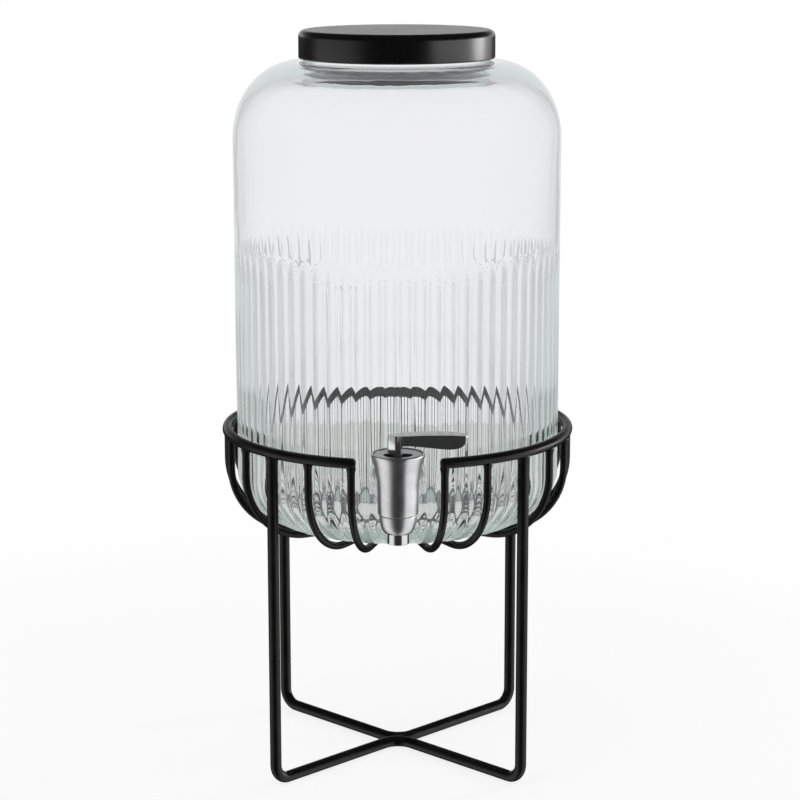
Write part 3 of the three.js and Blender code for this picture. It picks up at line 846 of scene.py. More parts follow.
    def leg_frame(self, name: str, half_turn: bool) -> Object:
        """Two legs and the bent floor bar between them, in one wire.

        Args:
            name: the piece's name.
            half_turn: whether the frame is turned round to the rear.

        Returns:
            The new piece.
        """
        floor = self.leg_wire / 2
        crossing = self.cross_bend * (math.sqrt(2) - 1) - floor - self.cross_gap / 2
        side = self.ring_radius * math.sin(math.radians(self.leg_angle))
        out, top = crossing - side, self.ring_height - self.sunk
        corners = np.array([[-side, out, top], [-side, out, floor], [0, crossing, floor],
                            [side, out, floor], [side, out, top]])
        bends = [self.leg_bend, self.cross_bend, self.leg_bend]
        points, ways = self.along(*bent(corners, bends, self.bend_steps))
        level = np.linalg.norm(ways[:, :2], axis=1)
        right = np.arange(len(ways)) >= len(ways) // 2
        held = np.where(right[:, None], [[1, -1]], [[1, 1]]) / math.sqrt(2)
        flat = np.where(level[:, None] > 1e-3, ways[:, :2] / np.maximum(level, 1e-3)[:, None], held)
        across = np.stack([flat[:, 1], -flat[:, 0], np.zeros(len(flat))], 1)
        if half_turn:
            spin = np.array([-1, -1, 1])
            points, ways, across = points * spin, ways * spin, across * spin
        bead = self.ring_wire / 2 - self.sunk
        return self.welded(name, points + np.array([0, self.middle, 0]), ways, across, self.leg_wire,
                           (bead, bead))

    def build(self, finish: Material) -> list[Object]:
        """Makes and dresses every wire of the stand.

        Args:
            finish: the coating.

        Returns:
            The pieces.
        """
        made = [(self.ring(), "top_ring"), (self.base_ring(), "base_ring"),
                (self.leg_frame("stand_front_legs", False), "front_leg_frame"),
                (self.leg_frame("stand_rear_legs", True), "rear_leg_frame"),
                (self.rib(180, "stand_rib_back"), "rib_back")]
        made += [(self.rib(sign * degrees, f"stand_rib_{side}_{degrees}"), f"rib_{side}_{degrees}")
                 for degrees in self.rib_angles for side, sign in (("right", 1), ("left", -1))]
        return [dress(piece, finish, Body.STAND, "black_coating", node) for piece, node in made]


# The glass jar


@dataclass
class GlassJar:
    """A thick pressed jar: fluted below, plain above, with a screw neck and a hole for the tap."""

    middle: float = MIDDLE
    foot: float = 151.05
    radius: float = 100
    wall: float = 4.2
    upper_wall: float = 2.2
    thinning: tuple[float, float] = (120, 196)  # heights between which the wall grows thinner
    floor: float = 7
    straight: float = 239
    corner_reach: float = 40
    corner_rise: float = 33
    punt_radius: float = 38
    punt_depth: float = 3.5
    punt_stations: tuple[float, ...] = (0, 9, 18, 26, 33)  # radii of its rings
    foot_stations: tuple[tuple[float, float], ...] = ((38, 0.05), (44, 0), (52, 0))  # radius and height
    close_below: float = 66  # height up to which the rings lie close
    close_above: tuple[float, float] = (150, 155)  # between these heights they begin to lie close again
    shoulder_reach: float = 39.5
    shoulder_rise: float = 46
    hollow_rise: float = 40.8  # of the shoulder's inner face, which leaves the glass thick towards the neck
    neck_radius: float = 56.5
    neck_wall: float = 4
    neck_root: float = 1.5
    rim_height: float = 300.4
    rim_rounding: float = 1.2
    lip_reach: tuple[float, float] = (1.3, 6)  # down from the rim, outside and inside
    throat_top: float = 9  # down from the rim
    throat_root: float = 0.6  # up from the shoulder's inner face
    throat_rounding: float = 5.0
    flutes: int = 72
    columns_per_flute: int = 8
    flute_depth: float = 1.2
    flute_top: float = 176
    arch: float = 20
    corner_arch: tuple[float, float] = (8, 40)
    softness: float = 0.1
    waves: tuple[tuple[float, ...], ...] = ((0.10, 3, 19, 0), (0.08, 7, -13, 1.1))  # as inner_skin says
    wave_start: float = 60  # radius outside which the inner face is wavy
    wave_end: float = 20  # up from the end of the straight wall
    imprint: float = 0.12
    imprint_top: float = 90
    imprint_fade: float = 40  # height over which it grows from there down
    imprint_start: tuple[float, float] = (40, 20)  # radius, and the reach over which it grows
    thread_height: float = 0.55
    thread_pitch: float = 6
    thread_start: float = 289.2
    thread_turns: float = 1.25
    thread_width: float = 0.9
    thread_end: float = 0.06  # in turns
    inlet: float = 48
    pad_radius: float = 13.4
    pad_edge: float = 2.4
    pad_reach: float = 100.5
    hole_radius: float = 8.5
    hole_sides: int = 64
    hole_reach: tuple[float, float] = (4, 16)  # of its cutter, out and in from the wall

    def outside(self) -> tuple[Array, Array, Array]:
        """The outer profile from under the foot to the rim.

        Returns:
            Its points as [radius, height], their outward directions, and the depth of the flutes at each.
        """
        foot_radius = self.radius - self.corner_reach
        under = np.array(self.punt_stations)
        hollow = self.punt_depth * (0.5 + 0.5 * np.cos(np.pi * under / self.punt_radius))
        punt = np.stack([under, hollow], 1)
        rest = np.array(self.foot_stations)
        corner = ellipse((foot_radius, self.corner_rise), self.corner_reach, self.corner_rise, 0, 90, 20)
        heights = np.concatenate([np.linspace(self.corner_rise, self.close_below, 19)[1:],
                                  np.linspace(self.close_below, self.close_above[0], 6)[1:],
                                  np.linspace(self.close_above[1], self.flute_top + 1, 14),
                                  np.linspace(self.flute_top + 4, self.straight, 4)[:-1]])
        side = np.stack([np.full(len(heights), self.radius), heights], 1)
        inset = self.radius - self.shoulder_reach
        shoulder = ellipse((inset, self.straight), self.shoulder_reach, self.shoulder_rise, 90, 180, 17)
        top = self.straight + self.shoulder_rise
        root = rounded([(inset - 0.6, top), (self.neck_radius, top), (self.neck_radius, top + 2.4)],
                       [self.neck_root], 5)[1:]
        neck = np.linspace(top + 3, self.rim_height - self.rim_rounding - 0.2, 19)
        profile = np.concatenate([punt, rest, corner, side, shoulder, root,
                                  np.stack([np.full(len(neck), self.neck_radius), neck], 1)])
        way = np.gradient(profile, axis=0)
        normals = unit(np.stack([way[:, 1], -way[:, 0]], 1))
        angle = np.degrees(np.arctan2((profile[:, 0] - foot_radius) / self.corner_reach,
                                      (self.corner_rise - profile[:, 1]) / self.corner_rise))
        low = np.clip((self.corner_arch[1] - angle) / (self.corner_arch[1] - self.corner_arch[0]), 0, 1)
        low = np.where(profile[:, 0] < foot_radius, 1, low)
        high = np.clip((profile[:, 1] - self.flute_top + self.arch) / self.arch, 0, 1)
        reach = np.where(profile[:, 1] < self.corner_rise, low, high)
        return profile, normals, self.flute_depth * (1 - reach**2) ** 2

    def inside(self) -> Array:
        """The profile from the rim down the inner wall to the middle of the floor.

        Returns:
            Its points as [radius, height].
        """
        rim, neck = self.rim_height, self.neck_radius
        mouth = neck - self.neck_wall
        lip = rounded([(neck, rim - self.lip_reach[0]), (neck, rim), (mouth, rim),
                       (mouth, rim - self.lip_reach[1])], self.rim_rounding, 3)[1:]
        inset = self.radius - self.shoulder_reach
        shoulder = ellipse((inset, self.straight), self.shoulder_reach - self.upper_wall,
                           self.hollow_rise, 90, 174, 14)[::-1]
        root = self.straight + self.hollow_rise + self.throat_root
        throat = rounded([(mouth, rim - self.throat_top), (mouth, root), tuple(shoulder[0])],
                         self.throat_rounding, 4)[:-1]
        side = np.concatenate([np.linspace(self.straight, self.thinning[1], 3)[1:],
                               np.linspace(self.thinning[1], self.thinning[0], 8)[1:],
                               np.linspace(self.thinning[0], self.corner_rise, 5)[1:-1]])
        share = eased(np.clip((side - self.thinning[0]) / (self.thinning[1] - self.thinning[0]), 0, 1))
        corner = ellipse((self.radius - self.corner_reach, self.corner_rise), self.corner_reach - self.wall,
                         self.corner_rise - self.floor, 0, 90, 10)[::-1]
        bottom = np.array([[45, self.floor], [30, self.floor], [15, self.floor], [0, self.floor]])
        wall = np.stack([self.radius - self.wall + (self.wall - self.upper_wall) * share, side], 1)
        return np.concatenate([lip, throat, shoulder, wall, corner, bottom])

    def thread(self, turns: Array, height: Array) -> Array:
        """The thread: t exp(-((h - h0 - pitch n) / w)^2) at n turns, with both ends faded out.

        Args:
            turns: the place of each column, in turns.
            height: the height of each row.

        Returns:
            How far the thread stands out at each row and column.
        """
        wound = turns + np.arange(2)[:, None, None]
        off = height - self.thread_start - self.thread_pitch * wound
        ridge = np.exp(-((off / self.thread_width) ** 2))
        ends = np.clip(wound / self.thread_end, 0, 1)
        ends = ends * np.clip((self.thread_turns - wound) / self.thread_end, 0, 1)
        return self.thread_height * (ridge * ends).max(0)

    def outer_skin(self, angle: Array) -> Array:
        """Rings of the outer face.

        A point at an angle q is the profile less g along its normal. With u from -1 to 1 across a flute,
        g is the soft maximum of 0 and depth - D u^2, so that a flute is a round groove between sharp crests
        and narrows to a pointed arch where its depth fades. The neck adds the thread. Round the tap the
        surface goes over to a flat pad.

        Args:
            angle: the angle of each column.

        Returns:
            An array of rings, points and coordinates, from the jar's foot.
        """
        u = 2 * (np.arange(len(angle)) % self.columns_per_flute) / self.columns_per_flute - 1
        profile, normals, depth = self.outside()
        height = profile[:, 1:]
        waver = 1 + 0.10 * np.sin(5 * angle + height / 23) + 0.08 * np.sin(11 * angle - height / 31 + 1.3)
        gap = depth[:, None] * waver - self.flute_depth * u**2
        groove = 0.5 * (gap + np.sqrt(gap**2 + self.softness**2)) * (depth[:, None] > 1e-6)
        on_neck = (profile[:, :1] < self.neck_radius + 0.01) * (height > self.straight)
        lift = self.thread(angle / (2 * np.pi), height) * on_neck - groove
        radius = profile[:, :1] + normals[:, :1] * lift
        height = height + normals[:, 1:] * lift
        across, out = radius * np.sin(angle), radius * np.cos(angle)
        away = np.hypot(across, height - self.inlet)
        share = eased(np.clip((away - self.pad_radius) / self.pad_edge, 0, 1)) + (out < 0) * 2
        out = np.where(share < 1, out * share + self.pad_reach * (1 - share), out)
        return np.stack([across, -out, height], -1)

    def inner_skin(self, angle: Array) -> Array:
        """Rings of the inner face, with slow waves of 0.1 mm and, low down, a faint print of the flutes.

        A wave is d sin(n a + h / p + s) at angle a and height h, with d, n, p and s from waves.

        Args:
            angle: the angle of each column.

        Returns:
            An array of rings, points and coordinates, from the jar's foot.
        """
        radius, height = self.inside()[:, :, None].swapaxes(0, 1)
        wave = sum(depth * np.sin(count * angle + height / rise + phase)
                   for depth, count, rise, phase in self.waves)
        wave = wave * (radius > self.wave_start) * (height < self.straight + self.wave_end)
        start, growth = self.imprint_start
        low = np.clip((self.imprint_top - height) / self.imprint_fade, 0, 1)
        far = np.clip((radius - start) / growth, 0, 1)
        wave = wave + self.imprint * np.cos(self.flutes * angle) * low * far
        reach = radius - wave
        return np.stack([reach * np.sin(angle), -reach * np.cos(angle), height + 0 * wave], -1)

    def build(self, finish: Material) -> Object:
        """Makes the glass, with the round hole that the tap's tail goes through.

        Args:
            finish: the glass's material.

        Returns:
            The jar.
        """
        count = self.flutes * self.columns_per_flute
        angle = 2 * np.pi * np.arange(count) / count
        rings = np.concatenate([self.outer_skin(angle), self.inner_skin(angle)])
        jar = put_surface("jar", rings + np.array([0, self.middle, self.foot]), sharp=75)
        near, (out, within) = self.middle - self.radius, self.hole_reach
        bore(jar, self.hole_radius, near - out, near + within, self.hole_sides, Axis.Y,
             (0, 0, self.foot + self.inlet))
        smooth(jar.data, 60)
        return dress(jar, finish, Body.JAR, "jar_glass", "glass_jar")


# The tap


@dataclass
class Tap:
    """A turned lever tap: cup-shaped body, dome and nozzle, dished bonnet, lever and valve."""

    centre: Point = TAP_CENTRE
    seam: float = -14.4
    gap: float = 0.3
    cup_radius: float = 15.65
    cup_rise: float = 21.5
    lip: float = 1.3
    body_radius: float = 12
    foot_radius: float = 11.8
    flare: float = 20
    chamber: float = 8.3
    socket: float = 9
    socket_top: float = -10.3
    bonnet_radius: float = 14
    bonnet_top: float = 20.9
    bonnet_foot: float = 18.3
    boss_radius: float = 11
    boss_foot: float = 12.3
    slot_floor: float = 14.2
    slot_length: float = 17
    stub_radius: float = 9.5
    flange_radius: float = 11.3
    flange_start: float = 16.0
    flange_end: float = 18.4
    tail_radius: float = 8
    tail_bore: float = 6.3
    tail_end: float = 38.357
    tail_pitch: float = 1.5
    tail_groove: float = 0.42
    tail_rows: int = 140
    tail_sides: int = 72
    washer_radius: float = 11.5
    washer_bore: float = 8.5
    washer_thickness: float = 2.5
    outer_washer: float = 18.7
    inner_washer: float = 27.557
    nut_start: float = 30.357
    nut_thickness: float = 6
    nut_flats: float = 21
    dome_radius: float = 10.9
    dome_foot_radius: float = 7.0
    dome_foot: float = -25.8
    nozzle_radius: float = 6.3
    nozzle_bore: float = 3.7
    nozzle_tip: float = -32.2
    tenon_top: float = -10.6
    dish_radius: float = 12.4
    dish_middle: float = 3  # radius inside which the dish is flat
    dish_depth: float = 1.2
    stem_bore: float = 2.2
    lever_width: float = 8.4
    lever_top: float = 13.7  # of the handle's ends, from the pin
    pin_height: float = 18.2
    pin_radius: float = 1.2
    pin_bore: float = 1.5
    handle_reach: float = 40.4
    leg_back: float = 6
    leg_front: float = 1.6
    fork_gap: float = 1.8
    cheek_lean: tuple[float, float] = (58, 26)  # of its normal away from the front, in degrees
    swell: float = 2.4
    narrowing: float = 0.5
    tip_rounding: float = 2
    top_rounding: float = 1.1
    spring_foot: float = -2.5
    spring_keep: float = 0.8  # share of the spring's length that is left when the valve is at its limit
    spring_ends: tuple[float, float] = (-2.05, 11.55)
    spring_radius: float = 4.0
    spring_wire: float = 0.45
    spring_turns: int = 4
    stem_radius: float = 1.9
    collar_radius: float = 5.2
    eye_radius: float = 2.9
    eye_half: float = 1.5
    sides: int = 96
    middle_sides: int = 48
    small_sides: int = 32

    @property
    def pin_centre(self) -> Point:
        """The middle of the lever's pin."""
        return self.centre[0], self.centre[1], self.centre[2] + self.pin_height

    def tail(self) -> Object:
        """The tail through the glass: a flange, then a thread.

        Its radius is less by g |2 f - 1|, where f is the part of a turn since the last crest.

        Returns:
            A shape to be joined to the cup.
        """
        stub = rounded([(0, 0), (self.stub_radius, 0), (self.stub_radius, self.flange_start),
                        (self.flange_radius, self.flange_start), (self.flange_radius, self.flange_end),
                        (self.tail_radius, self.flange_end)], [0.05, 0.8, 0.5, 0.5], 3)
        reach = np.linspace(self.flange_end + 0.3, self.tail_end - 0.6, self.tail_rows)[:, None]
        thread = np.concatenate([np.full_like(reach, self.tail_radius), reach], 1)
        end = np.array([[self.tail_radius - 0.5, self.tail_end], [0, self.tail_end]])
        rings = turned(np.concatenate([stub, thread, end]), self.tail_sides, Axis.Y)
        phase = (reach / self.tail_pitch - np.arange(self.tail_sides) / self.tail_sides) % 1
        depth = self.tail_groove * np.abs(2 * phase - 1) * np.clip((reach - self.flange_end) / 2, 0, 1)
        rings[len(stub):-len(end), :, ::2] *= (1 - depth / self.tail_radius)[..., None]
        return put_surface("tail", rings + np.asarray(self.centre))

    def body(self) -> Object:
        """The cup and its tail: r = r0 + (r1 - r0) s^1.55 up the flare, then hollowed and bored.

        Returns:
            The new piece.
        """
        share = np.linspace(0, 1, 25)
        foot = self.cup_rise - self.lip - self.flare
        flare = np.stack([self.body_radius + (self.cup_radius - self.body_radius) * share**1.55,
                          foot + self.flare * share], 1)
        low = rounded([(0, self.seam), (self.foot_radius, self.seam), (self.body_radius, foot)], [0.5], 4)
        lip = rounded([tuple(flare[-1]), (self.cup_radius, self.cup_rise), (0, self.cup_rise)], [0.6], 5)
        profile = np.concatenate([low[:-1], flare, lip[1:]])
        cup = put_turned("tap_cup", profile, self.sides, centre=self.centre)
        combine(cup, self.tail(), "UNION")
        boss, seat = self.boss_radius + self.gap, self.bonnet_radius + self.gap
        boss_foot, seat_foot = self.boss_foot - self.gap, self.bonnet_foot - self.gap
        hollow = rounded([
            (0, self.seam - 1), (self.socket, self.seam - 1), (self.socket, self.socket_top),
            (self.chamber, self.socket_top), (self.chamber, boss_foot), (boss, boss_foot),
            (boss, seat_foot), (seat, seat_foot), (seat, self.cup_rise + 1),
            (0, self.cup_rise + 1)], 0.15, 2)
        combine(cup, put_turned("hollow", hollow, self.sides, centre=self.centre))
        bore(cup, self.tail_bore, 0, self.tail_end + 1, self.middle_sides, Axis.Y, self.centre)
        smooth(cup.data, 35)
        return cup

    def outlet(self) -> Object:
        """The dome, a quarter ellipse, with the straight nozzle below it and the tenon above.

        Returns:
            The new piece.
        """
        shoulder = self.seam - self.gap
        dome = ellipse((self.dome_foot_radius, shoulder), self.dome_radius - self.dome_foot_radius,
                       shoulder - self.dome_foot, 0, 86, 20)
        foot = rounded([(self.nozzle_bore, -20), (self.nozzle_bore, self.nozzle_tip),
                        (self.nozzle_radius, self.nozzle_tip), (self.nozzle_radius, self.dome_foot),
                        tuple(dome[0])], [0.3, 0.5, 0.25], 4)
        top = rounded([tuple(dome[-1]), (self.dome_radius, shoulder), (self.socket - self.gap, shoulder),
                       (self.socket - self.gap, self.tenon_top), (5.5, self.tenon_top),
                       (self.nozzle_bore, self.tenon_top - 2), (self.nozzle_bore, -16)],
                      [0.4, 0.2, 0.4, 0.2, 0.4], 3)
        profile = np.concatenate([foot[:-1], dome[:-1], top[:-1]])
        return put_turned("tap_dome", profile, self.sides, centre=self.centre, looped=True, sharp=35)

    def stadium(self, low: float, high: float, width: float, corner: float) -> Array:
        """An outline from a half circle at one end to two rounded corners at the other.

        Args:
            low: where the half circle starts, along x.
            high: where the outline ends.
            width: its width, across x.
            corner: the corners' radius.

        Returns:
            Its points, in x and y.
        """
        angle = np.radians(np.linspace(-90, 90, 26))
        lift = np.where(angle < 0, corner - width / 2, width / 2 - corner)
        right = np.stack([high - corner + corner * np.cos(angle), lift + corner * np.sin(angle)], 1)
        left = np.stack([low + width / 2 * (1 - np.cos(angle)), -width / 2 * np.sin(angle)], 1)
        return np.concatenate([right, left])

    def leaf(self, swell: float) -> Array:
        """The lever's plan: a nose with curved cheeks, then a long leaf with a rounded tip.

        A cheek is an arc whose normal turns towards the front. Half the leaf's width at x is
        lever_width / 2 + swell sin(pi s^0.65), with s from 0 at the leg to 1 at the tip.

        Args:
            swell: how much the leaf swells on each side.

        Returns:
            The outline's points, in x and y from the pin.
        """
        half = self.lever_width / 2
        lean = np.radians(np.linspace(*self.cheek_lean, 9))
        cheek = half / (np.cos(lean[-1]) - np.cos(lean[0]))
        cheek = np.stack([cheek * (np.sin(lean[0]) - np.sin(lean)),
                          cheek * (np.cos(lean) - np.cos(lean[0]))], 1)
        cheek[:, 0] -= self.leg_back
        leg = cheek[-1, 0]
        s = np.linspace(0, 1, 16)
        along = leg + 0.5 + (self.handle_reach - self.tip_rounding - leg - 0.5) * s
        wide = half + swell * np.sin(np.pi * s**0.65) - self.narrowing * s**3
        end = wide[-1] - self.tip_rounding
        turn = np.radians(np.linspace(90, 0, 7))[1:]
        corner = np.stack([self.handle_reach - self.tip_rounding + self.tip_rounding * np.cos(turn),
                           end + self.tip_rounding * np.sin(turn)], 1)
        side = np.concatenate([cheek, np.stack([along, wide], 1), corner])
        return np.concatenate([side[::-1], side[1:] * [1, -1]])

    def bonnet(self) -> Object:
        """The dished disc on its boss, slotted for the lever and bored for the stem.

        The dish falls by d s^0.8, with s from 0 at its edge to 1 at its flat middle.

        Returns:
            The new piece.
        """
        dish, share = np.linspace(self.dish_radius, self.dish_middle, 9), np.linspace(0, 1, 9)
        slope = self.bonnet_top - self.dish_depth * share**0.8
        boss, edge, foot, top = self.boss_radius, self.bonnet_radius, self.bonnet_foot, self.bonnet_top
        rim = rounded([(0, self.boss_foot), (boss, self.boss_foot), (boss, foot), (edge, foot), (edge, top),
                       (self.dish_radius, top)], [0.3, 0.2, 0.3, 0.4], 3)
        profile = np.concatenate([rim, np.stack([dish, slope], 1)[1:], [[0, slope[-1]]]])
        disc = put_turned("tap_bonnet_disc", profile, self.sides, centre=self.centre)
        half, wide = self.slot_length / 2, self.lever_width + 1
        combine(disc, put_plate("slot", self.stadium(-half, half, wide, wide / 2 - 0.01), self.slot_floor,
                                self.bonnet_top + 1, Axis.Z, self.centre))
        bore(disc, self.stem_bore, 5, 25, self.small_sides, Axis.Z, self.centre)
        smooth(disc.data, 35)
        return disc

    def side_view(self) -> Array:
        """The lever's outline from the front: a leg and a swelling handle.

        Returns:
            Its points, in x and z from the pin.
        """
        t = np.linspace(0, 1, 13)[1:, None]

        def curve(*knots: tuple[float, float]) -> Array:
            """A Bezier curve without its first point.

            Args:
                knots: its three or four points.

            Returns:
                The points along it.
            """
            p = np.asarray(knots, float)
            if len(p) == 3:
                return (1 - t) ** 2 * p[0] + 2 * t * (1 - t) * p[1] + t**2 * p[2]
            return ((1 - t) ** 3 * p[0] + 3 * t * (1 - t) ** 2 * p[1] + 3 * t**2 * (1 - t) * p[2]
                    + t**3 * p[3])

        front, back, tip, end = self.leg_front, -self.leg_back, self.handle_reach, self.lever_top
        foot = curve((1.35, -3.7), (3.2, -3.7), (3.2, -1.85))
        toe = curve((3.2, -1.85), (3.2, 1.85), (front, 3.7))
        elbow = curve((front, 6.0), (front, 8.6), (front + 2.6, 8.6))
        belly = curve((front + 2.6, 8.6), (15.3, 8.6), (24.5, 6.3), (30.7, 6.3))
        nose = curve((30.7, 6.3), (tip - 1.0, 6.3), (tip - 1.2, 12.5))
        top = curve((tip, end), (20.2, 16.05), (back + 1.9, end))
        shoulder = curve((back + 1.9, end), (back, 13.15), (back, 11.3))
        return np.concatenate([[(-5, -3.7), (1.35, -3.7)], foot, toe, [(front, 6.0)], elbow, belly, nose,
                               [(tip, 13.3), (tip, end)], top, shoulder, [(back, 0)]])

    def lever(self) -> Object:
        """The lever: its side view crossed with its plan, forked and bored for its pin.

        Across its width the top edge drops by r (1 - cos a) at r (1 - sin a) from each side, for a from
        90 to 0 degrees.

        Returns:
            The new piece.
        """
        place, outline = self.pin_centre, self.side_view()
        half, soft = self.lever_width / 2 + self.swell, self.top_rounding
        turn = np.radians(np.linspace(90, 0, 7))
        reach = half - soft + soft * np.sin(turn)
        drop = soft * (1 - np.cos(turn))
        across, drop = np.concatenate([-reach, reach[::-1]]), np.concatenate([drop, drop[::-1]])
        near_top = np.clip((outline[:, 1] - 11.2) / 1.8, 0, 1) * np.clip((outline[:, 0] + 6) / 1.5, 0, 1)
        height = outline[:, 1] - drop[:, None] * near_top
        rings = np.stack([outline[:, 0] + 0 * height, across[:, None] + 0 * height, height], -1)
        bar = put_stack("tap_handle", rings + np.asarray(place))
        levels = ((0.0, -8.0), (0.0, 4.8), (self.swell, 6.2), (self.swell, 20.0))
        plan = np.stack([np.pad(self.leaf(swell), ((0, 0), (0, 1)), constant_values=z)
                         for swell, z in levels])
        combine(bar, put_stack("plan", plan + np.asarray(place)), "INTERSECT")
        soften(bar, 0.35, 30, 3)
        fork = np.array([[-8.0, -6.0], [8.0, -6.0], [8.0, 3.3], [-8.0, 3.3]])
        combine(bar, put_plate("fork", fork, -self.fork_gap, self.fork_gap, Axis.Y, place))
        bore(bar, self.pin_bore, -8.0, 8.0, self.small_sides, Axis.Y, place)
        smooth(bar.data, 30)
        return bar

    def pin(self) -> Object:
        """The lever's pin, with domed ends.

        Returns:
            The new piece.
        """
        half, radius = self.lever_width / 2 - self.gap, self.pin_radius
        profile = rounded([(0, -half), (radius, -half), (radius, half), (0, half)], 0.4, 5)
        return put_turned("tap_pin", profile, self.small_sides, Axis.Y, self.pin_centre)

    def washer(self, name: str, start: float) -> Object:
        """A soft washer round the tail.

        Args:
            name: the piece's name.
            start: where it starts along the tail.

        Returns:
            The new piece.
        """
        end, middle = start + self.washer_thickness, (self.washer_bore + self.washer_radius) / 2
        profile = rounded([(middle, start), (self.washer_radius, start), (self.washer_radius, end),
                           (self.washer_bore, end), (self.washer_bore, start), (middle, start)],
                          [0.8, 0.8, 0.3, 0.3], 5)[:-1]
        return put_turned(name, profile, self.tail_sides, Axis.Y, self.centre, looped=True)

    def nut(self) -> Object:
        """The hexagon nut: r = flats / 2 / cos(a within its side), cut by a cone that rounds its corners.

        Returns:
            The new piece.
        """
        angle = 2 * np.pi * np.arange(self.sides) / self.sides
        within = (angle + np.pi / 6) % (np.pi / 3) - np.pi / 6
        hexagon = self.nut_flats / 2 / np.cos(within)
        start, end = self.nut_start, self.nut_start + self.nut_thickness
        place = np.array([start, start, start + 0.9, end - 0.9, end, end, end, start])
        cone = np.array([9.0, 10.4, 12.2, 12.2, 10.4, 9.0, 8.5, 8.5])[:, None]
        radius = np.minimum(cone, np.where(cone > 10.3, hexagon, 99))
        rings = np.stack([radius * np.sin(angle), place[:, None] + 0 * radius, radius * np.cos(angle)], -1)
        return put_surface("tap_nut", rings + np.asarray(self.centre), looped=True, sharp=25)

    def spring(self) -> Object:
        """The closing spring: a wire along a helix.

        Returns:
            The new piece.
        """
        low, high = self.spring_ends
        angle = np.linspace(0, 2 * np.pi * self.spring_turns, self.spring_turns * 28 + 1)
        climb = (high - low) / angle[-1]
        across, out = self.spring_radius * np.cos(angle), self.spring_radius * np.sin(angle)
        points = np.stack([across, out, low + climb * angle], 1) + np.asarray(self.centre)
        ways = unit(np.stack([-out, across, np.full(len(angle), climb)], 1))
        wire = capped(points, ways, UP, np.full(len(angle), self.spring_wire))
        return put_surface("valve_coil", swept(*wire, 10))

    def stem(self) -> Object:
        """The stem: a round shank with a collar, flattened to an eye that the lever is pinned to.

        Returns:
            The new piece.
        """
        radius, collar = self.stem_radius, self.collar_radius
        shank = rounded([(0, -8.5), (radius, -8.5), (radius, -4.0), (collar, -4.0), (collar, -2.8),
                         (radius, -2.8), (radius, 11.3), (1.45, 11.6), (1.45, self.pin_height),
                         (0, self.pin_height)], 0.12, 2)
        rod = put_turned("valve_rod", shank, self.middle_sides, centre=self.centre)
        angle, eye = np.radians(np.linspace(0, 180, 33)), self.eye_radius
        arc = np.stack([eye * np.cos(angle), self.pin_height + eye * np.sin(angle)], 1)
        eye = np.concatenate([[(-eye, 14.5), (eye, 14.5)], arc])
        combine(rod, put_plate("eye", eye, -self.eye_half, self.eye_half, Axis.Y, self.centre), "UNION")
        bore(rod, self.pin_bore, -4.0, 4.0, self.small_sides, Axis.Y, self.pin_centre)
        smooth(rod.data, 35)
        return rod

    def plug(self) -> Object:
        """The soft plug, whose cone lies in the outlet's seat.

        Returns:
            The new piece.
        """
        profile = rounded([(0, -12.3), (3.4, -12.3), (5.0, -10.6), (5.0, -10.3), (6.4, -10.3), (6.4, -4.3),
                           (2.2, -4.3), (2.2, -8.8), (0, -8.8)], [0.3, 0.2, 0.1, 0.4, 0.5, 0.2, 0.2], 3)
        return put_turned("valve_seal", profile, self.middle_sides, centre=self.centre)

    def build(self, brushed: Material, along: Material, dome: Material, polished: Material,
              soft: Material) -> list[Object]:
        """Makes and dresses every piece of the tap, giving the spring a mesh of its own.

        Args:
            brushed: steel turned about the tap's own axis.
            along: steel turned about the tail.
            dome: steel for the outlet.
            polished: bright steel.
            soft: silicone.

        Returns:
            The pieces.
        """
        coil = dress(self.spring(), polished, Body.VALVE, "polished_tap", "valve_spring")
        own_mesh(coil)
        return [
            dress(self.body(), brushed, Body.JAR, "brushed_tap", "tap_body"),
            dress(self.outlet(), dome, Body.JAR, "polished_tap", "tap_outlet"),
            dress(self.bonnet(), brushed, Body.JAR, "brushed_tap", "tap_bonnet"),
            dress(self.nut(), along, Body.JAR, "brushed_tap", "lock_nut"),
            dress(self.washer("tap_front_washer", self.outer_washer), soft, Body.JAR, "silicone",
                  "outer_washer"),
            dress(self.washer("tap_inner_washer", self.inner_washer), soft, Body.JAR, "silicone",
                  "inner_washer"),
            dress(self.lever(), polished, Body.LEVER, "polished_tap", "tap_lever"),
            dress(self.pin(), polished, Body.LEVER, "polished_tap", "lever_pin"),
            dress(self.stem(), polished, Body.VALVE, "polished_tap", "valve_stem"),
            dress(self.plug(), soft, Body.VALVE, "silicone", "valve_plug"),
            coil,
        ]


# The lid


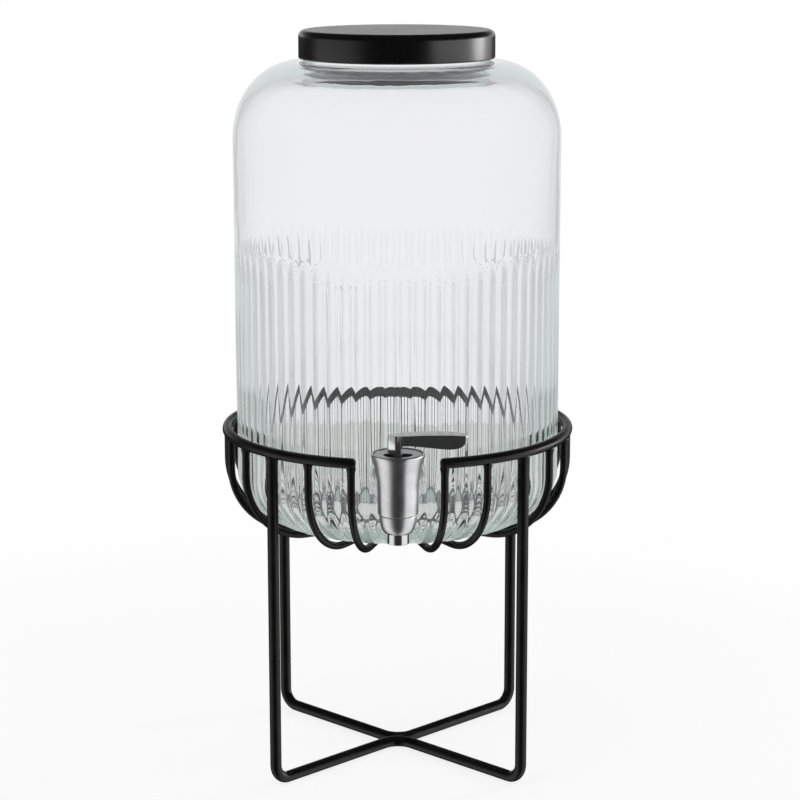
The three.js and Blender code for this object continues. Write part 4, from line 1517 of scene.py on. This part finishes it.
@dataclass
class ScrewLid:
    """A pressed lid with a round corner, a straight skirt and a rolled lower edge, on a soft seal."""

    middle: float = MIDDLE
    rim: float = 451.45
    radius: float = 59.6
    height: float = 17.4
    sheet: float = 1.0
    corner: float = 4.0
    curl_width: float = 2.4
    curl_height: float = 2.2
    crown: float = 0.35
    gasket_thickness: float = 1.9
    gasket_width: float = 11
    gap: float = 0.3
    sides: int = 192

    def shell(self) -> Object:
        """The pressed shell: a low crown, h = top - c (r / R)^2, a round corner, the skirt and its curl.

        Returns:
            The new piece.
        """
        top = self.rim + self.gasket_thickness + 2 * self.gap + self.sheet
        bottom, ceiling = top - self.height, top - self.sheet - self.crown
        across = np.linspace(0, self.radius - self.corner - 1, 12)
        crown = np.stack([across, top - self.crown * (across / self.radius) ** 2], 1)
        inner, curl = self.radius - self.sheet, self.radius - self.curl_width
        skirt = rounded([tuple(crown[-1]), (self.radius, top - self.crown), (self.radius, bottom),
                         (curl, bottom), (curl, bottom + self.curl_height),
                         (inner, bottom + self.curl_height + 0.8),
                         (inner, ceiling), (0, ceiling)],
                        [self.corner, 0.9, 0.9, 0.5, 0.4, self.corner - self.sheet], 12)
        return put_turned("lid_pressing", np.concatenate([crown[:-1], skirt]), self.sides,
                          centre=(0, self.middle, 0))

    def seal(self) -> Object:
        """The flat seal between the rim and the lid.

        Returns:
            The new piece.
        """
        outer = self.radius - self.corner - self.gap
        inner = outer - self.gasket_width
        low, high = self.rim + self.gap, self.rim + self.gap + self.gasket_thickness - self.crown
        between = (outer + inner) / 2
        profile = rounded([(between, low), (outer, low), (outer, high), (inner, high), (inner, low),
                           (between, low)], 0.5, 5)[:-1]
        return put_turned("lid_seal_ring", profile, self.sides, centre=(0, self.middle, 0), looped=True)

    def build(self, coat: Material, soft: Material) -> list[Object]:
        """Makes and dresses the lid and its seal."""
        return [dress(self.shell(), coat, Body.LID, "lid_coating", "lid_shell"),
                dress(self.seal(), soft, Body.LID_SEAL, "silicone", "lid_gasket")]


# The studio


@dataclass
class Studio:
    """The floor, the room that the light comes from, two lamps and the camera."""

    eye: Point = (-3.50, -1471.45, 539.66)
    pitch: float = math.radians(11.925)
    yaw: float = -0.003447
    roll: float = 0.001459
    lens: float = 109.65
    sensor: float = 36
    clipping: tuple[float, float] = (0.05, 50)
    floor_radius: float = 0.9
    floor_sides: int = 96
    plain_light: float = 0.72
    least_gloss: float = 0.045
    aim_height: float = 0.28

    def camera(self) -> None:
        """The camera: right, forward and up are the columns of Rz(yaw) Rx(-pitch) Ry(roll)."""
        data = bpy.data.cameras.new("camera")
        data.sensor_width, data.lens = self.sensor, self.lens
        data.clip_start, data.clip_end = self.clipping
        turn = (Matrix.Rotation(self.yaw, 3, "Z") @ Matrix.Rotation(-self.pitch, 3, "X")
                @ Matrix.Rotation(self.roll, 3, "Y"))
        right, forward, up = (turn.col[n] for n in range(3))
        pose = Matrix((right, up, -forward)).transposed().to_4x4()
        pose.translation = [METRES * x for x in self.eye]
        made = placed("camera", data)
        made.matrix_world = pose
        bpy.context.scene.camera = made

    def gloss(self, bearing: Value, slope: Value) -> Value:
        """What paint and metal mirror: a card on each side, a bright strip by the right one, one behind.

        Args:
            bearing: degrees from the front towards +x.
            slope: degrees up from level.

        Returns:
            The level of light.
        """
        upper = slope.rise(-10, -5)
        left = bearing.rise(-116, -104) * (1 - bearing.rise(-64, -30)) * (
            1.25 - 0.75 * upper + 1.1 * slope.band(5, 30, 8))
        right = bearing.band(41, 104, 10) * (1.25 + 0.95 * upper)
        strip = bearing.band(101, 122, 8) * (0.9 + 8.5 * upper) + bearing.band(122, 142, 10) * upper * 1.3
        low = (left + right + strip) * (1 - slope.rise(4, 11))
        behind = bearing.size().rise(126, 150) * (slope.band(1, 9, 6) + slope.band(9, 17, 6) * 0.45)
        return low + behind + self.least_gloss

    def glass(self, tree: Tree, bearing: Value, slope: Value) -> Value:
        """What is seen through glass: pale, darker above and below and along a line to each side behind.

        Args:
            tree: the world's tree.
            bearing: degrees from the front towards +x.
            slope: degrees up from level.

        Returns:
            The colour.
        """
        line = 0.5 * (1 - (bearing.size() - 157.5).size().rise(4, 9))
        aside = (180 - bearing.size()).rise(1.5, 9)
        shade = tree.mix(aside, colour(0.945, 0.945, 0.965), colour(0.90, 0.90, 0.915))
        shade = tree.mix(slope.size().rise(26, 50), shade, colour(0.38, 0.42, 0.47))
        return tree.mix(line, shade, colour(0.25, 0.28, 0.32))

    def world(self) -> None:
        """The room: white to the camera, a plain level for diffuse light, and cards for gloss and glass."""
        world = bpy.data.worlds.new("room")
        bpy.context.scene.world = world
        tree = Tree(world)
        x, y, z = tree.parts_of(tree.node("ShaderNodeTexCoord", out="Generated"))
        bearing = x.maths("ARCTAN2", x, y * -1) * (180 / math.pi)
        slope = z.maths("ARCSINE", z) * (180 / math.pi)
        camera, glossy, sharp, through, depth = tree.light_path(
            "Is Camera Ray", "Is Glossy Ray", "Is Singular Ray", "Is Transmission Ray", "Glossy Depth")
        sheen = 0.12 + 0.75 * bearing.size().rise(60, 130)
        mirrored = sharp * sheen + (1 - sharp) * self.gloss(bearing, slope)
        plain = glossy * mirrored + (1 - glossy) * self.plain_light
        glass = tree.mix(depth.least(1) * 0.35, self.glass(tree, bearing, slope), colour(0, 0, 0))
        seen = tree.mix(camera, tree.mix(through, plain, glass), colour(1, 1, 1))
        tree.finish(tree.node("ShaderNodeBackground", inputs={"Color": seen, "Strength": 1.0}))

    def floor(self) -> None:
        """A round white floor that holds the shadow, is let through by reflected rays and shows a painted
        grey-green shade through glass.
        """
        edge = self.floor_radius
        profile = np.array([[0, 0], [0.05, 0], [edge, 0], [edge, -0.004], [0, -0.004]]) / METRES
        disc = put_turned("floor", profile, self.floor_sides)
        made = bpy.data.materials.new("white_floor")
        tree = Tree(made)
        x, y, _ = tree.parts_of(tree.place())
        away = (x * x + y * y) ** 0.5
        camera, glossy, through = tree.light_path("Is Camera Ray", "Is Glossy Ray", "Is Transmission Ray")
        matt = tree.node("ShaderNodeBsdfDiffuse", inputs={"Color": colour(0.9, 0.9, 0.9)})
        # Seen through the glass, the floor glows a painted grey-green shade instead of white.
        white, painted_shade_through_glass = tree.glow(colour(1, 1, 1)), tree.glow(colour(0.64, 0.68, 0.66))
        white = tree.blend(through * (1 - camera), white, painted_shade_through_glass)
        shown = tree.blend(camera.greatest(through) * (0.8 + 0.2 * away.rise(0.25, 0.8)), matt, white)
        clear = tree.node("ShaderNodeBsdfTransparent")
        tree.finish(tree.blend(glossy * (1 - through) * (1 - camera), shown, clear))
        disc.data.materials.append(made)

    def lamp(self, name: str, bearing: float, distance: float, height: float, size: tuple[float, float],
             power: float) -> None:
        """A soft lamp that faces the jar's middle.

        Args:
            name: the lamp's name.
            bearing: its place, in degrees from the front towards +x.
            distance: how far out it stands, in metres.
            height: its height.
            size: its width and its height.
            power: its power in watts.
        """
        data = bpy.data.lights.new(name, "AREA")
        data.shape, data.energy = "RECTANGLE", power
        data.size, data.size_y = size
        turn = math.radians(bearing)
        place = Matrix.Translation((distance * math.sin(turn), -distance * math.cos(turn), height))
        aim = -place.translation
        aim.z += self.aim_height
        made = placed(name, data)
        made.matrix_world = place @ aim.to_track_quat("-Z", "Y").to_matrix().to_4x4()
        made.visible_camera = made.visible_glossy = made.visible_transmission = False

    def build(self) -> None:
        """Sets up the whole studio."""
        bpy.context.scene.view_settings.view_transform = "Standard"
        self.camera()
        self.world()
        self.floor()
        self.lamp("strip_right", bearing=118, distance=1.7, height=0.75, size=(0.3, 1.3), power=11)
        self.lamp("top_soft", bearing=-40, distance=1.4, height=1.7, size=(1.0, 1.0), power=9)


def main() -> None:
    """Builds the studio, the finishes and each sub-assembly, and reports every piece."""
    logging.basicConfig(level=logging.INFO, format="%(name)s: %(message)s")
    Studio().build()
    coat, glass, lid_coat, soft, brushed, along, dome, polished = (finish.make() for finish in (
        POWDER_COAT, JarGlass(), LID_COAT, SILICONE, BRUSHED, BRUSHED_NUT, BRUSHED_DOME, POLISHED))
    made = WireStand().build(coat)
    made.append(GlassJar().build(glass))
    made += Tap().build(brushed, along, dome, polished, soft)
    made += ScrewLid().build(lid_coat, soft)
    for piece in made:
        log.info("%s: %d faces", piece.name, len(piece.data.polygons))


if __name__ == "__main__":
    main()
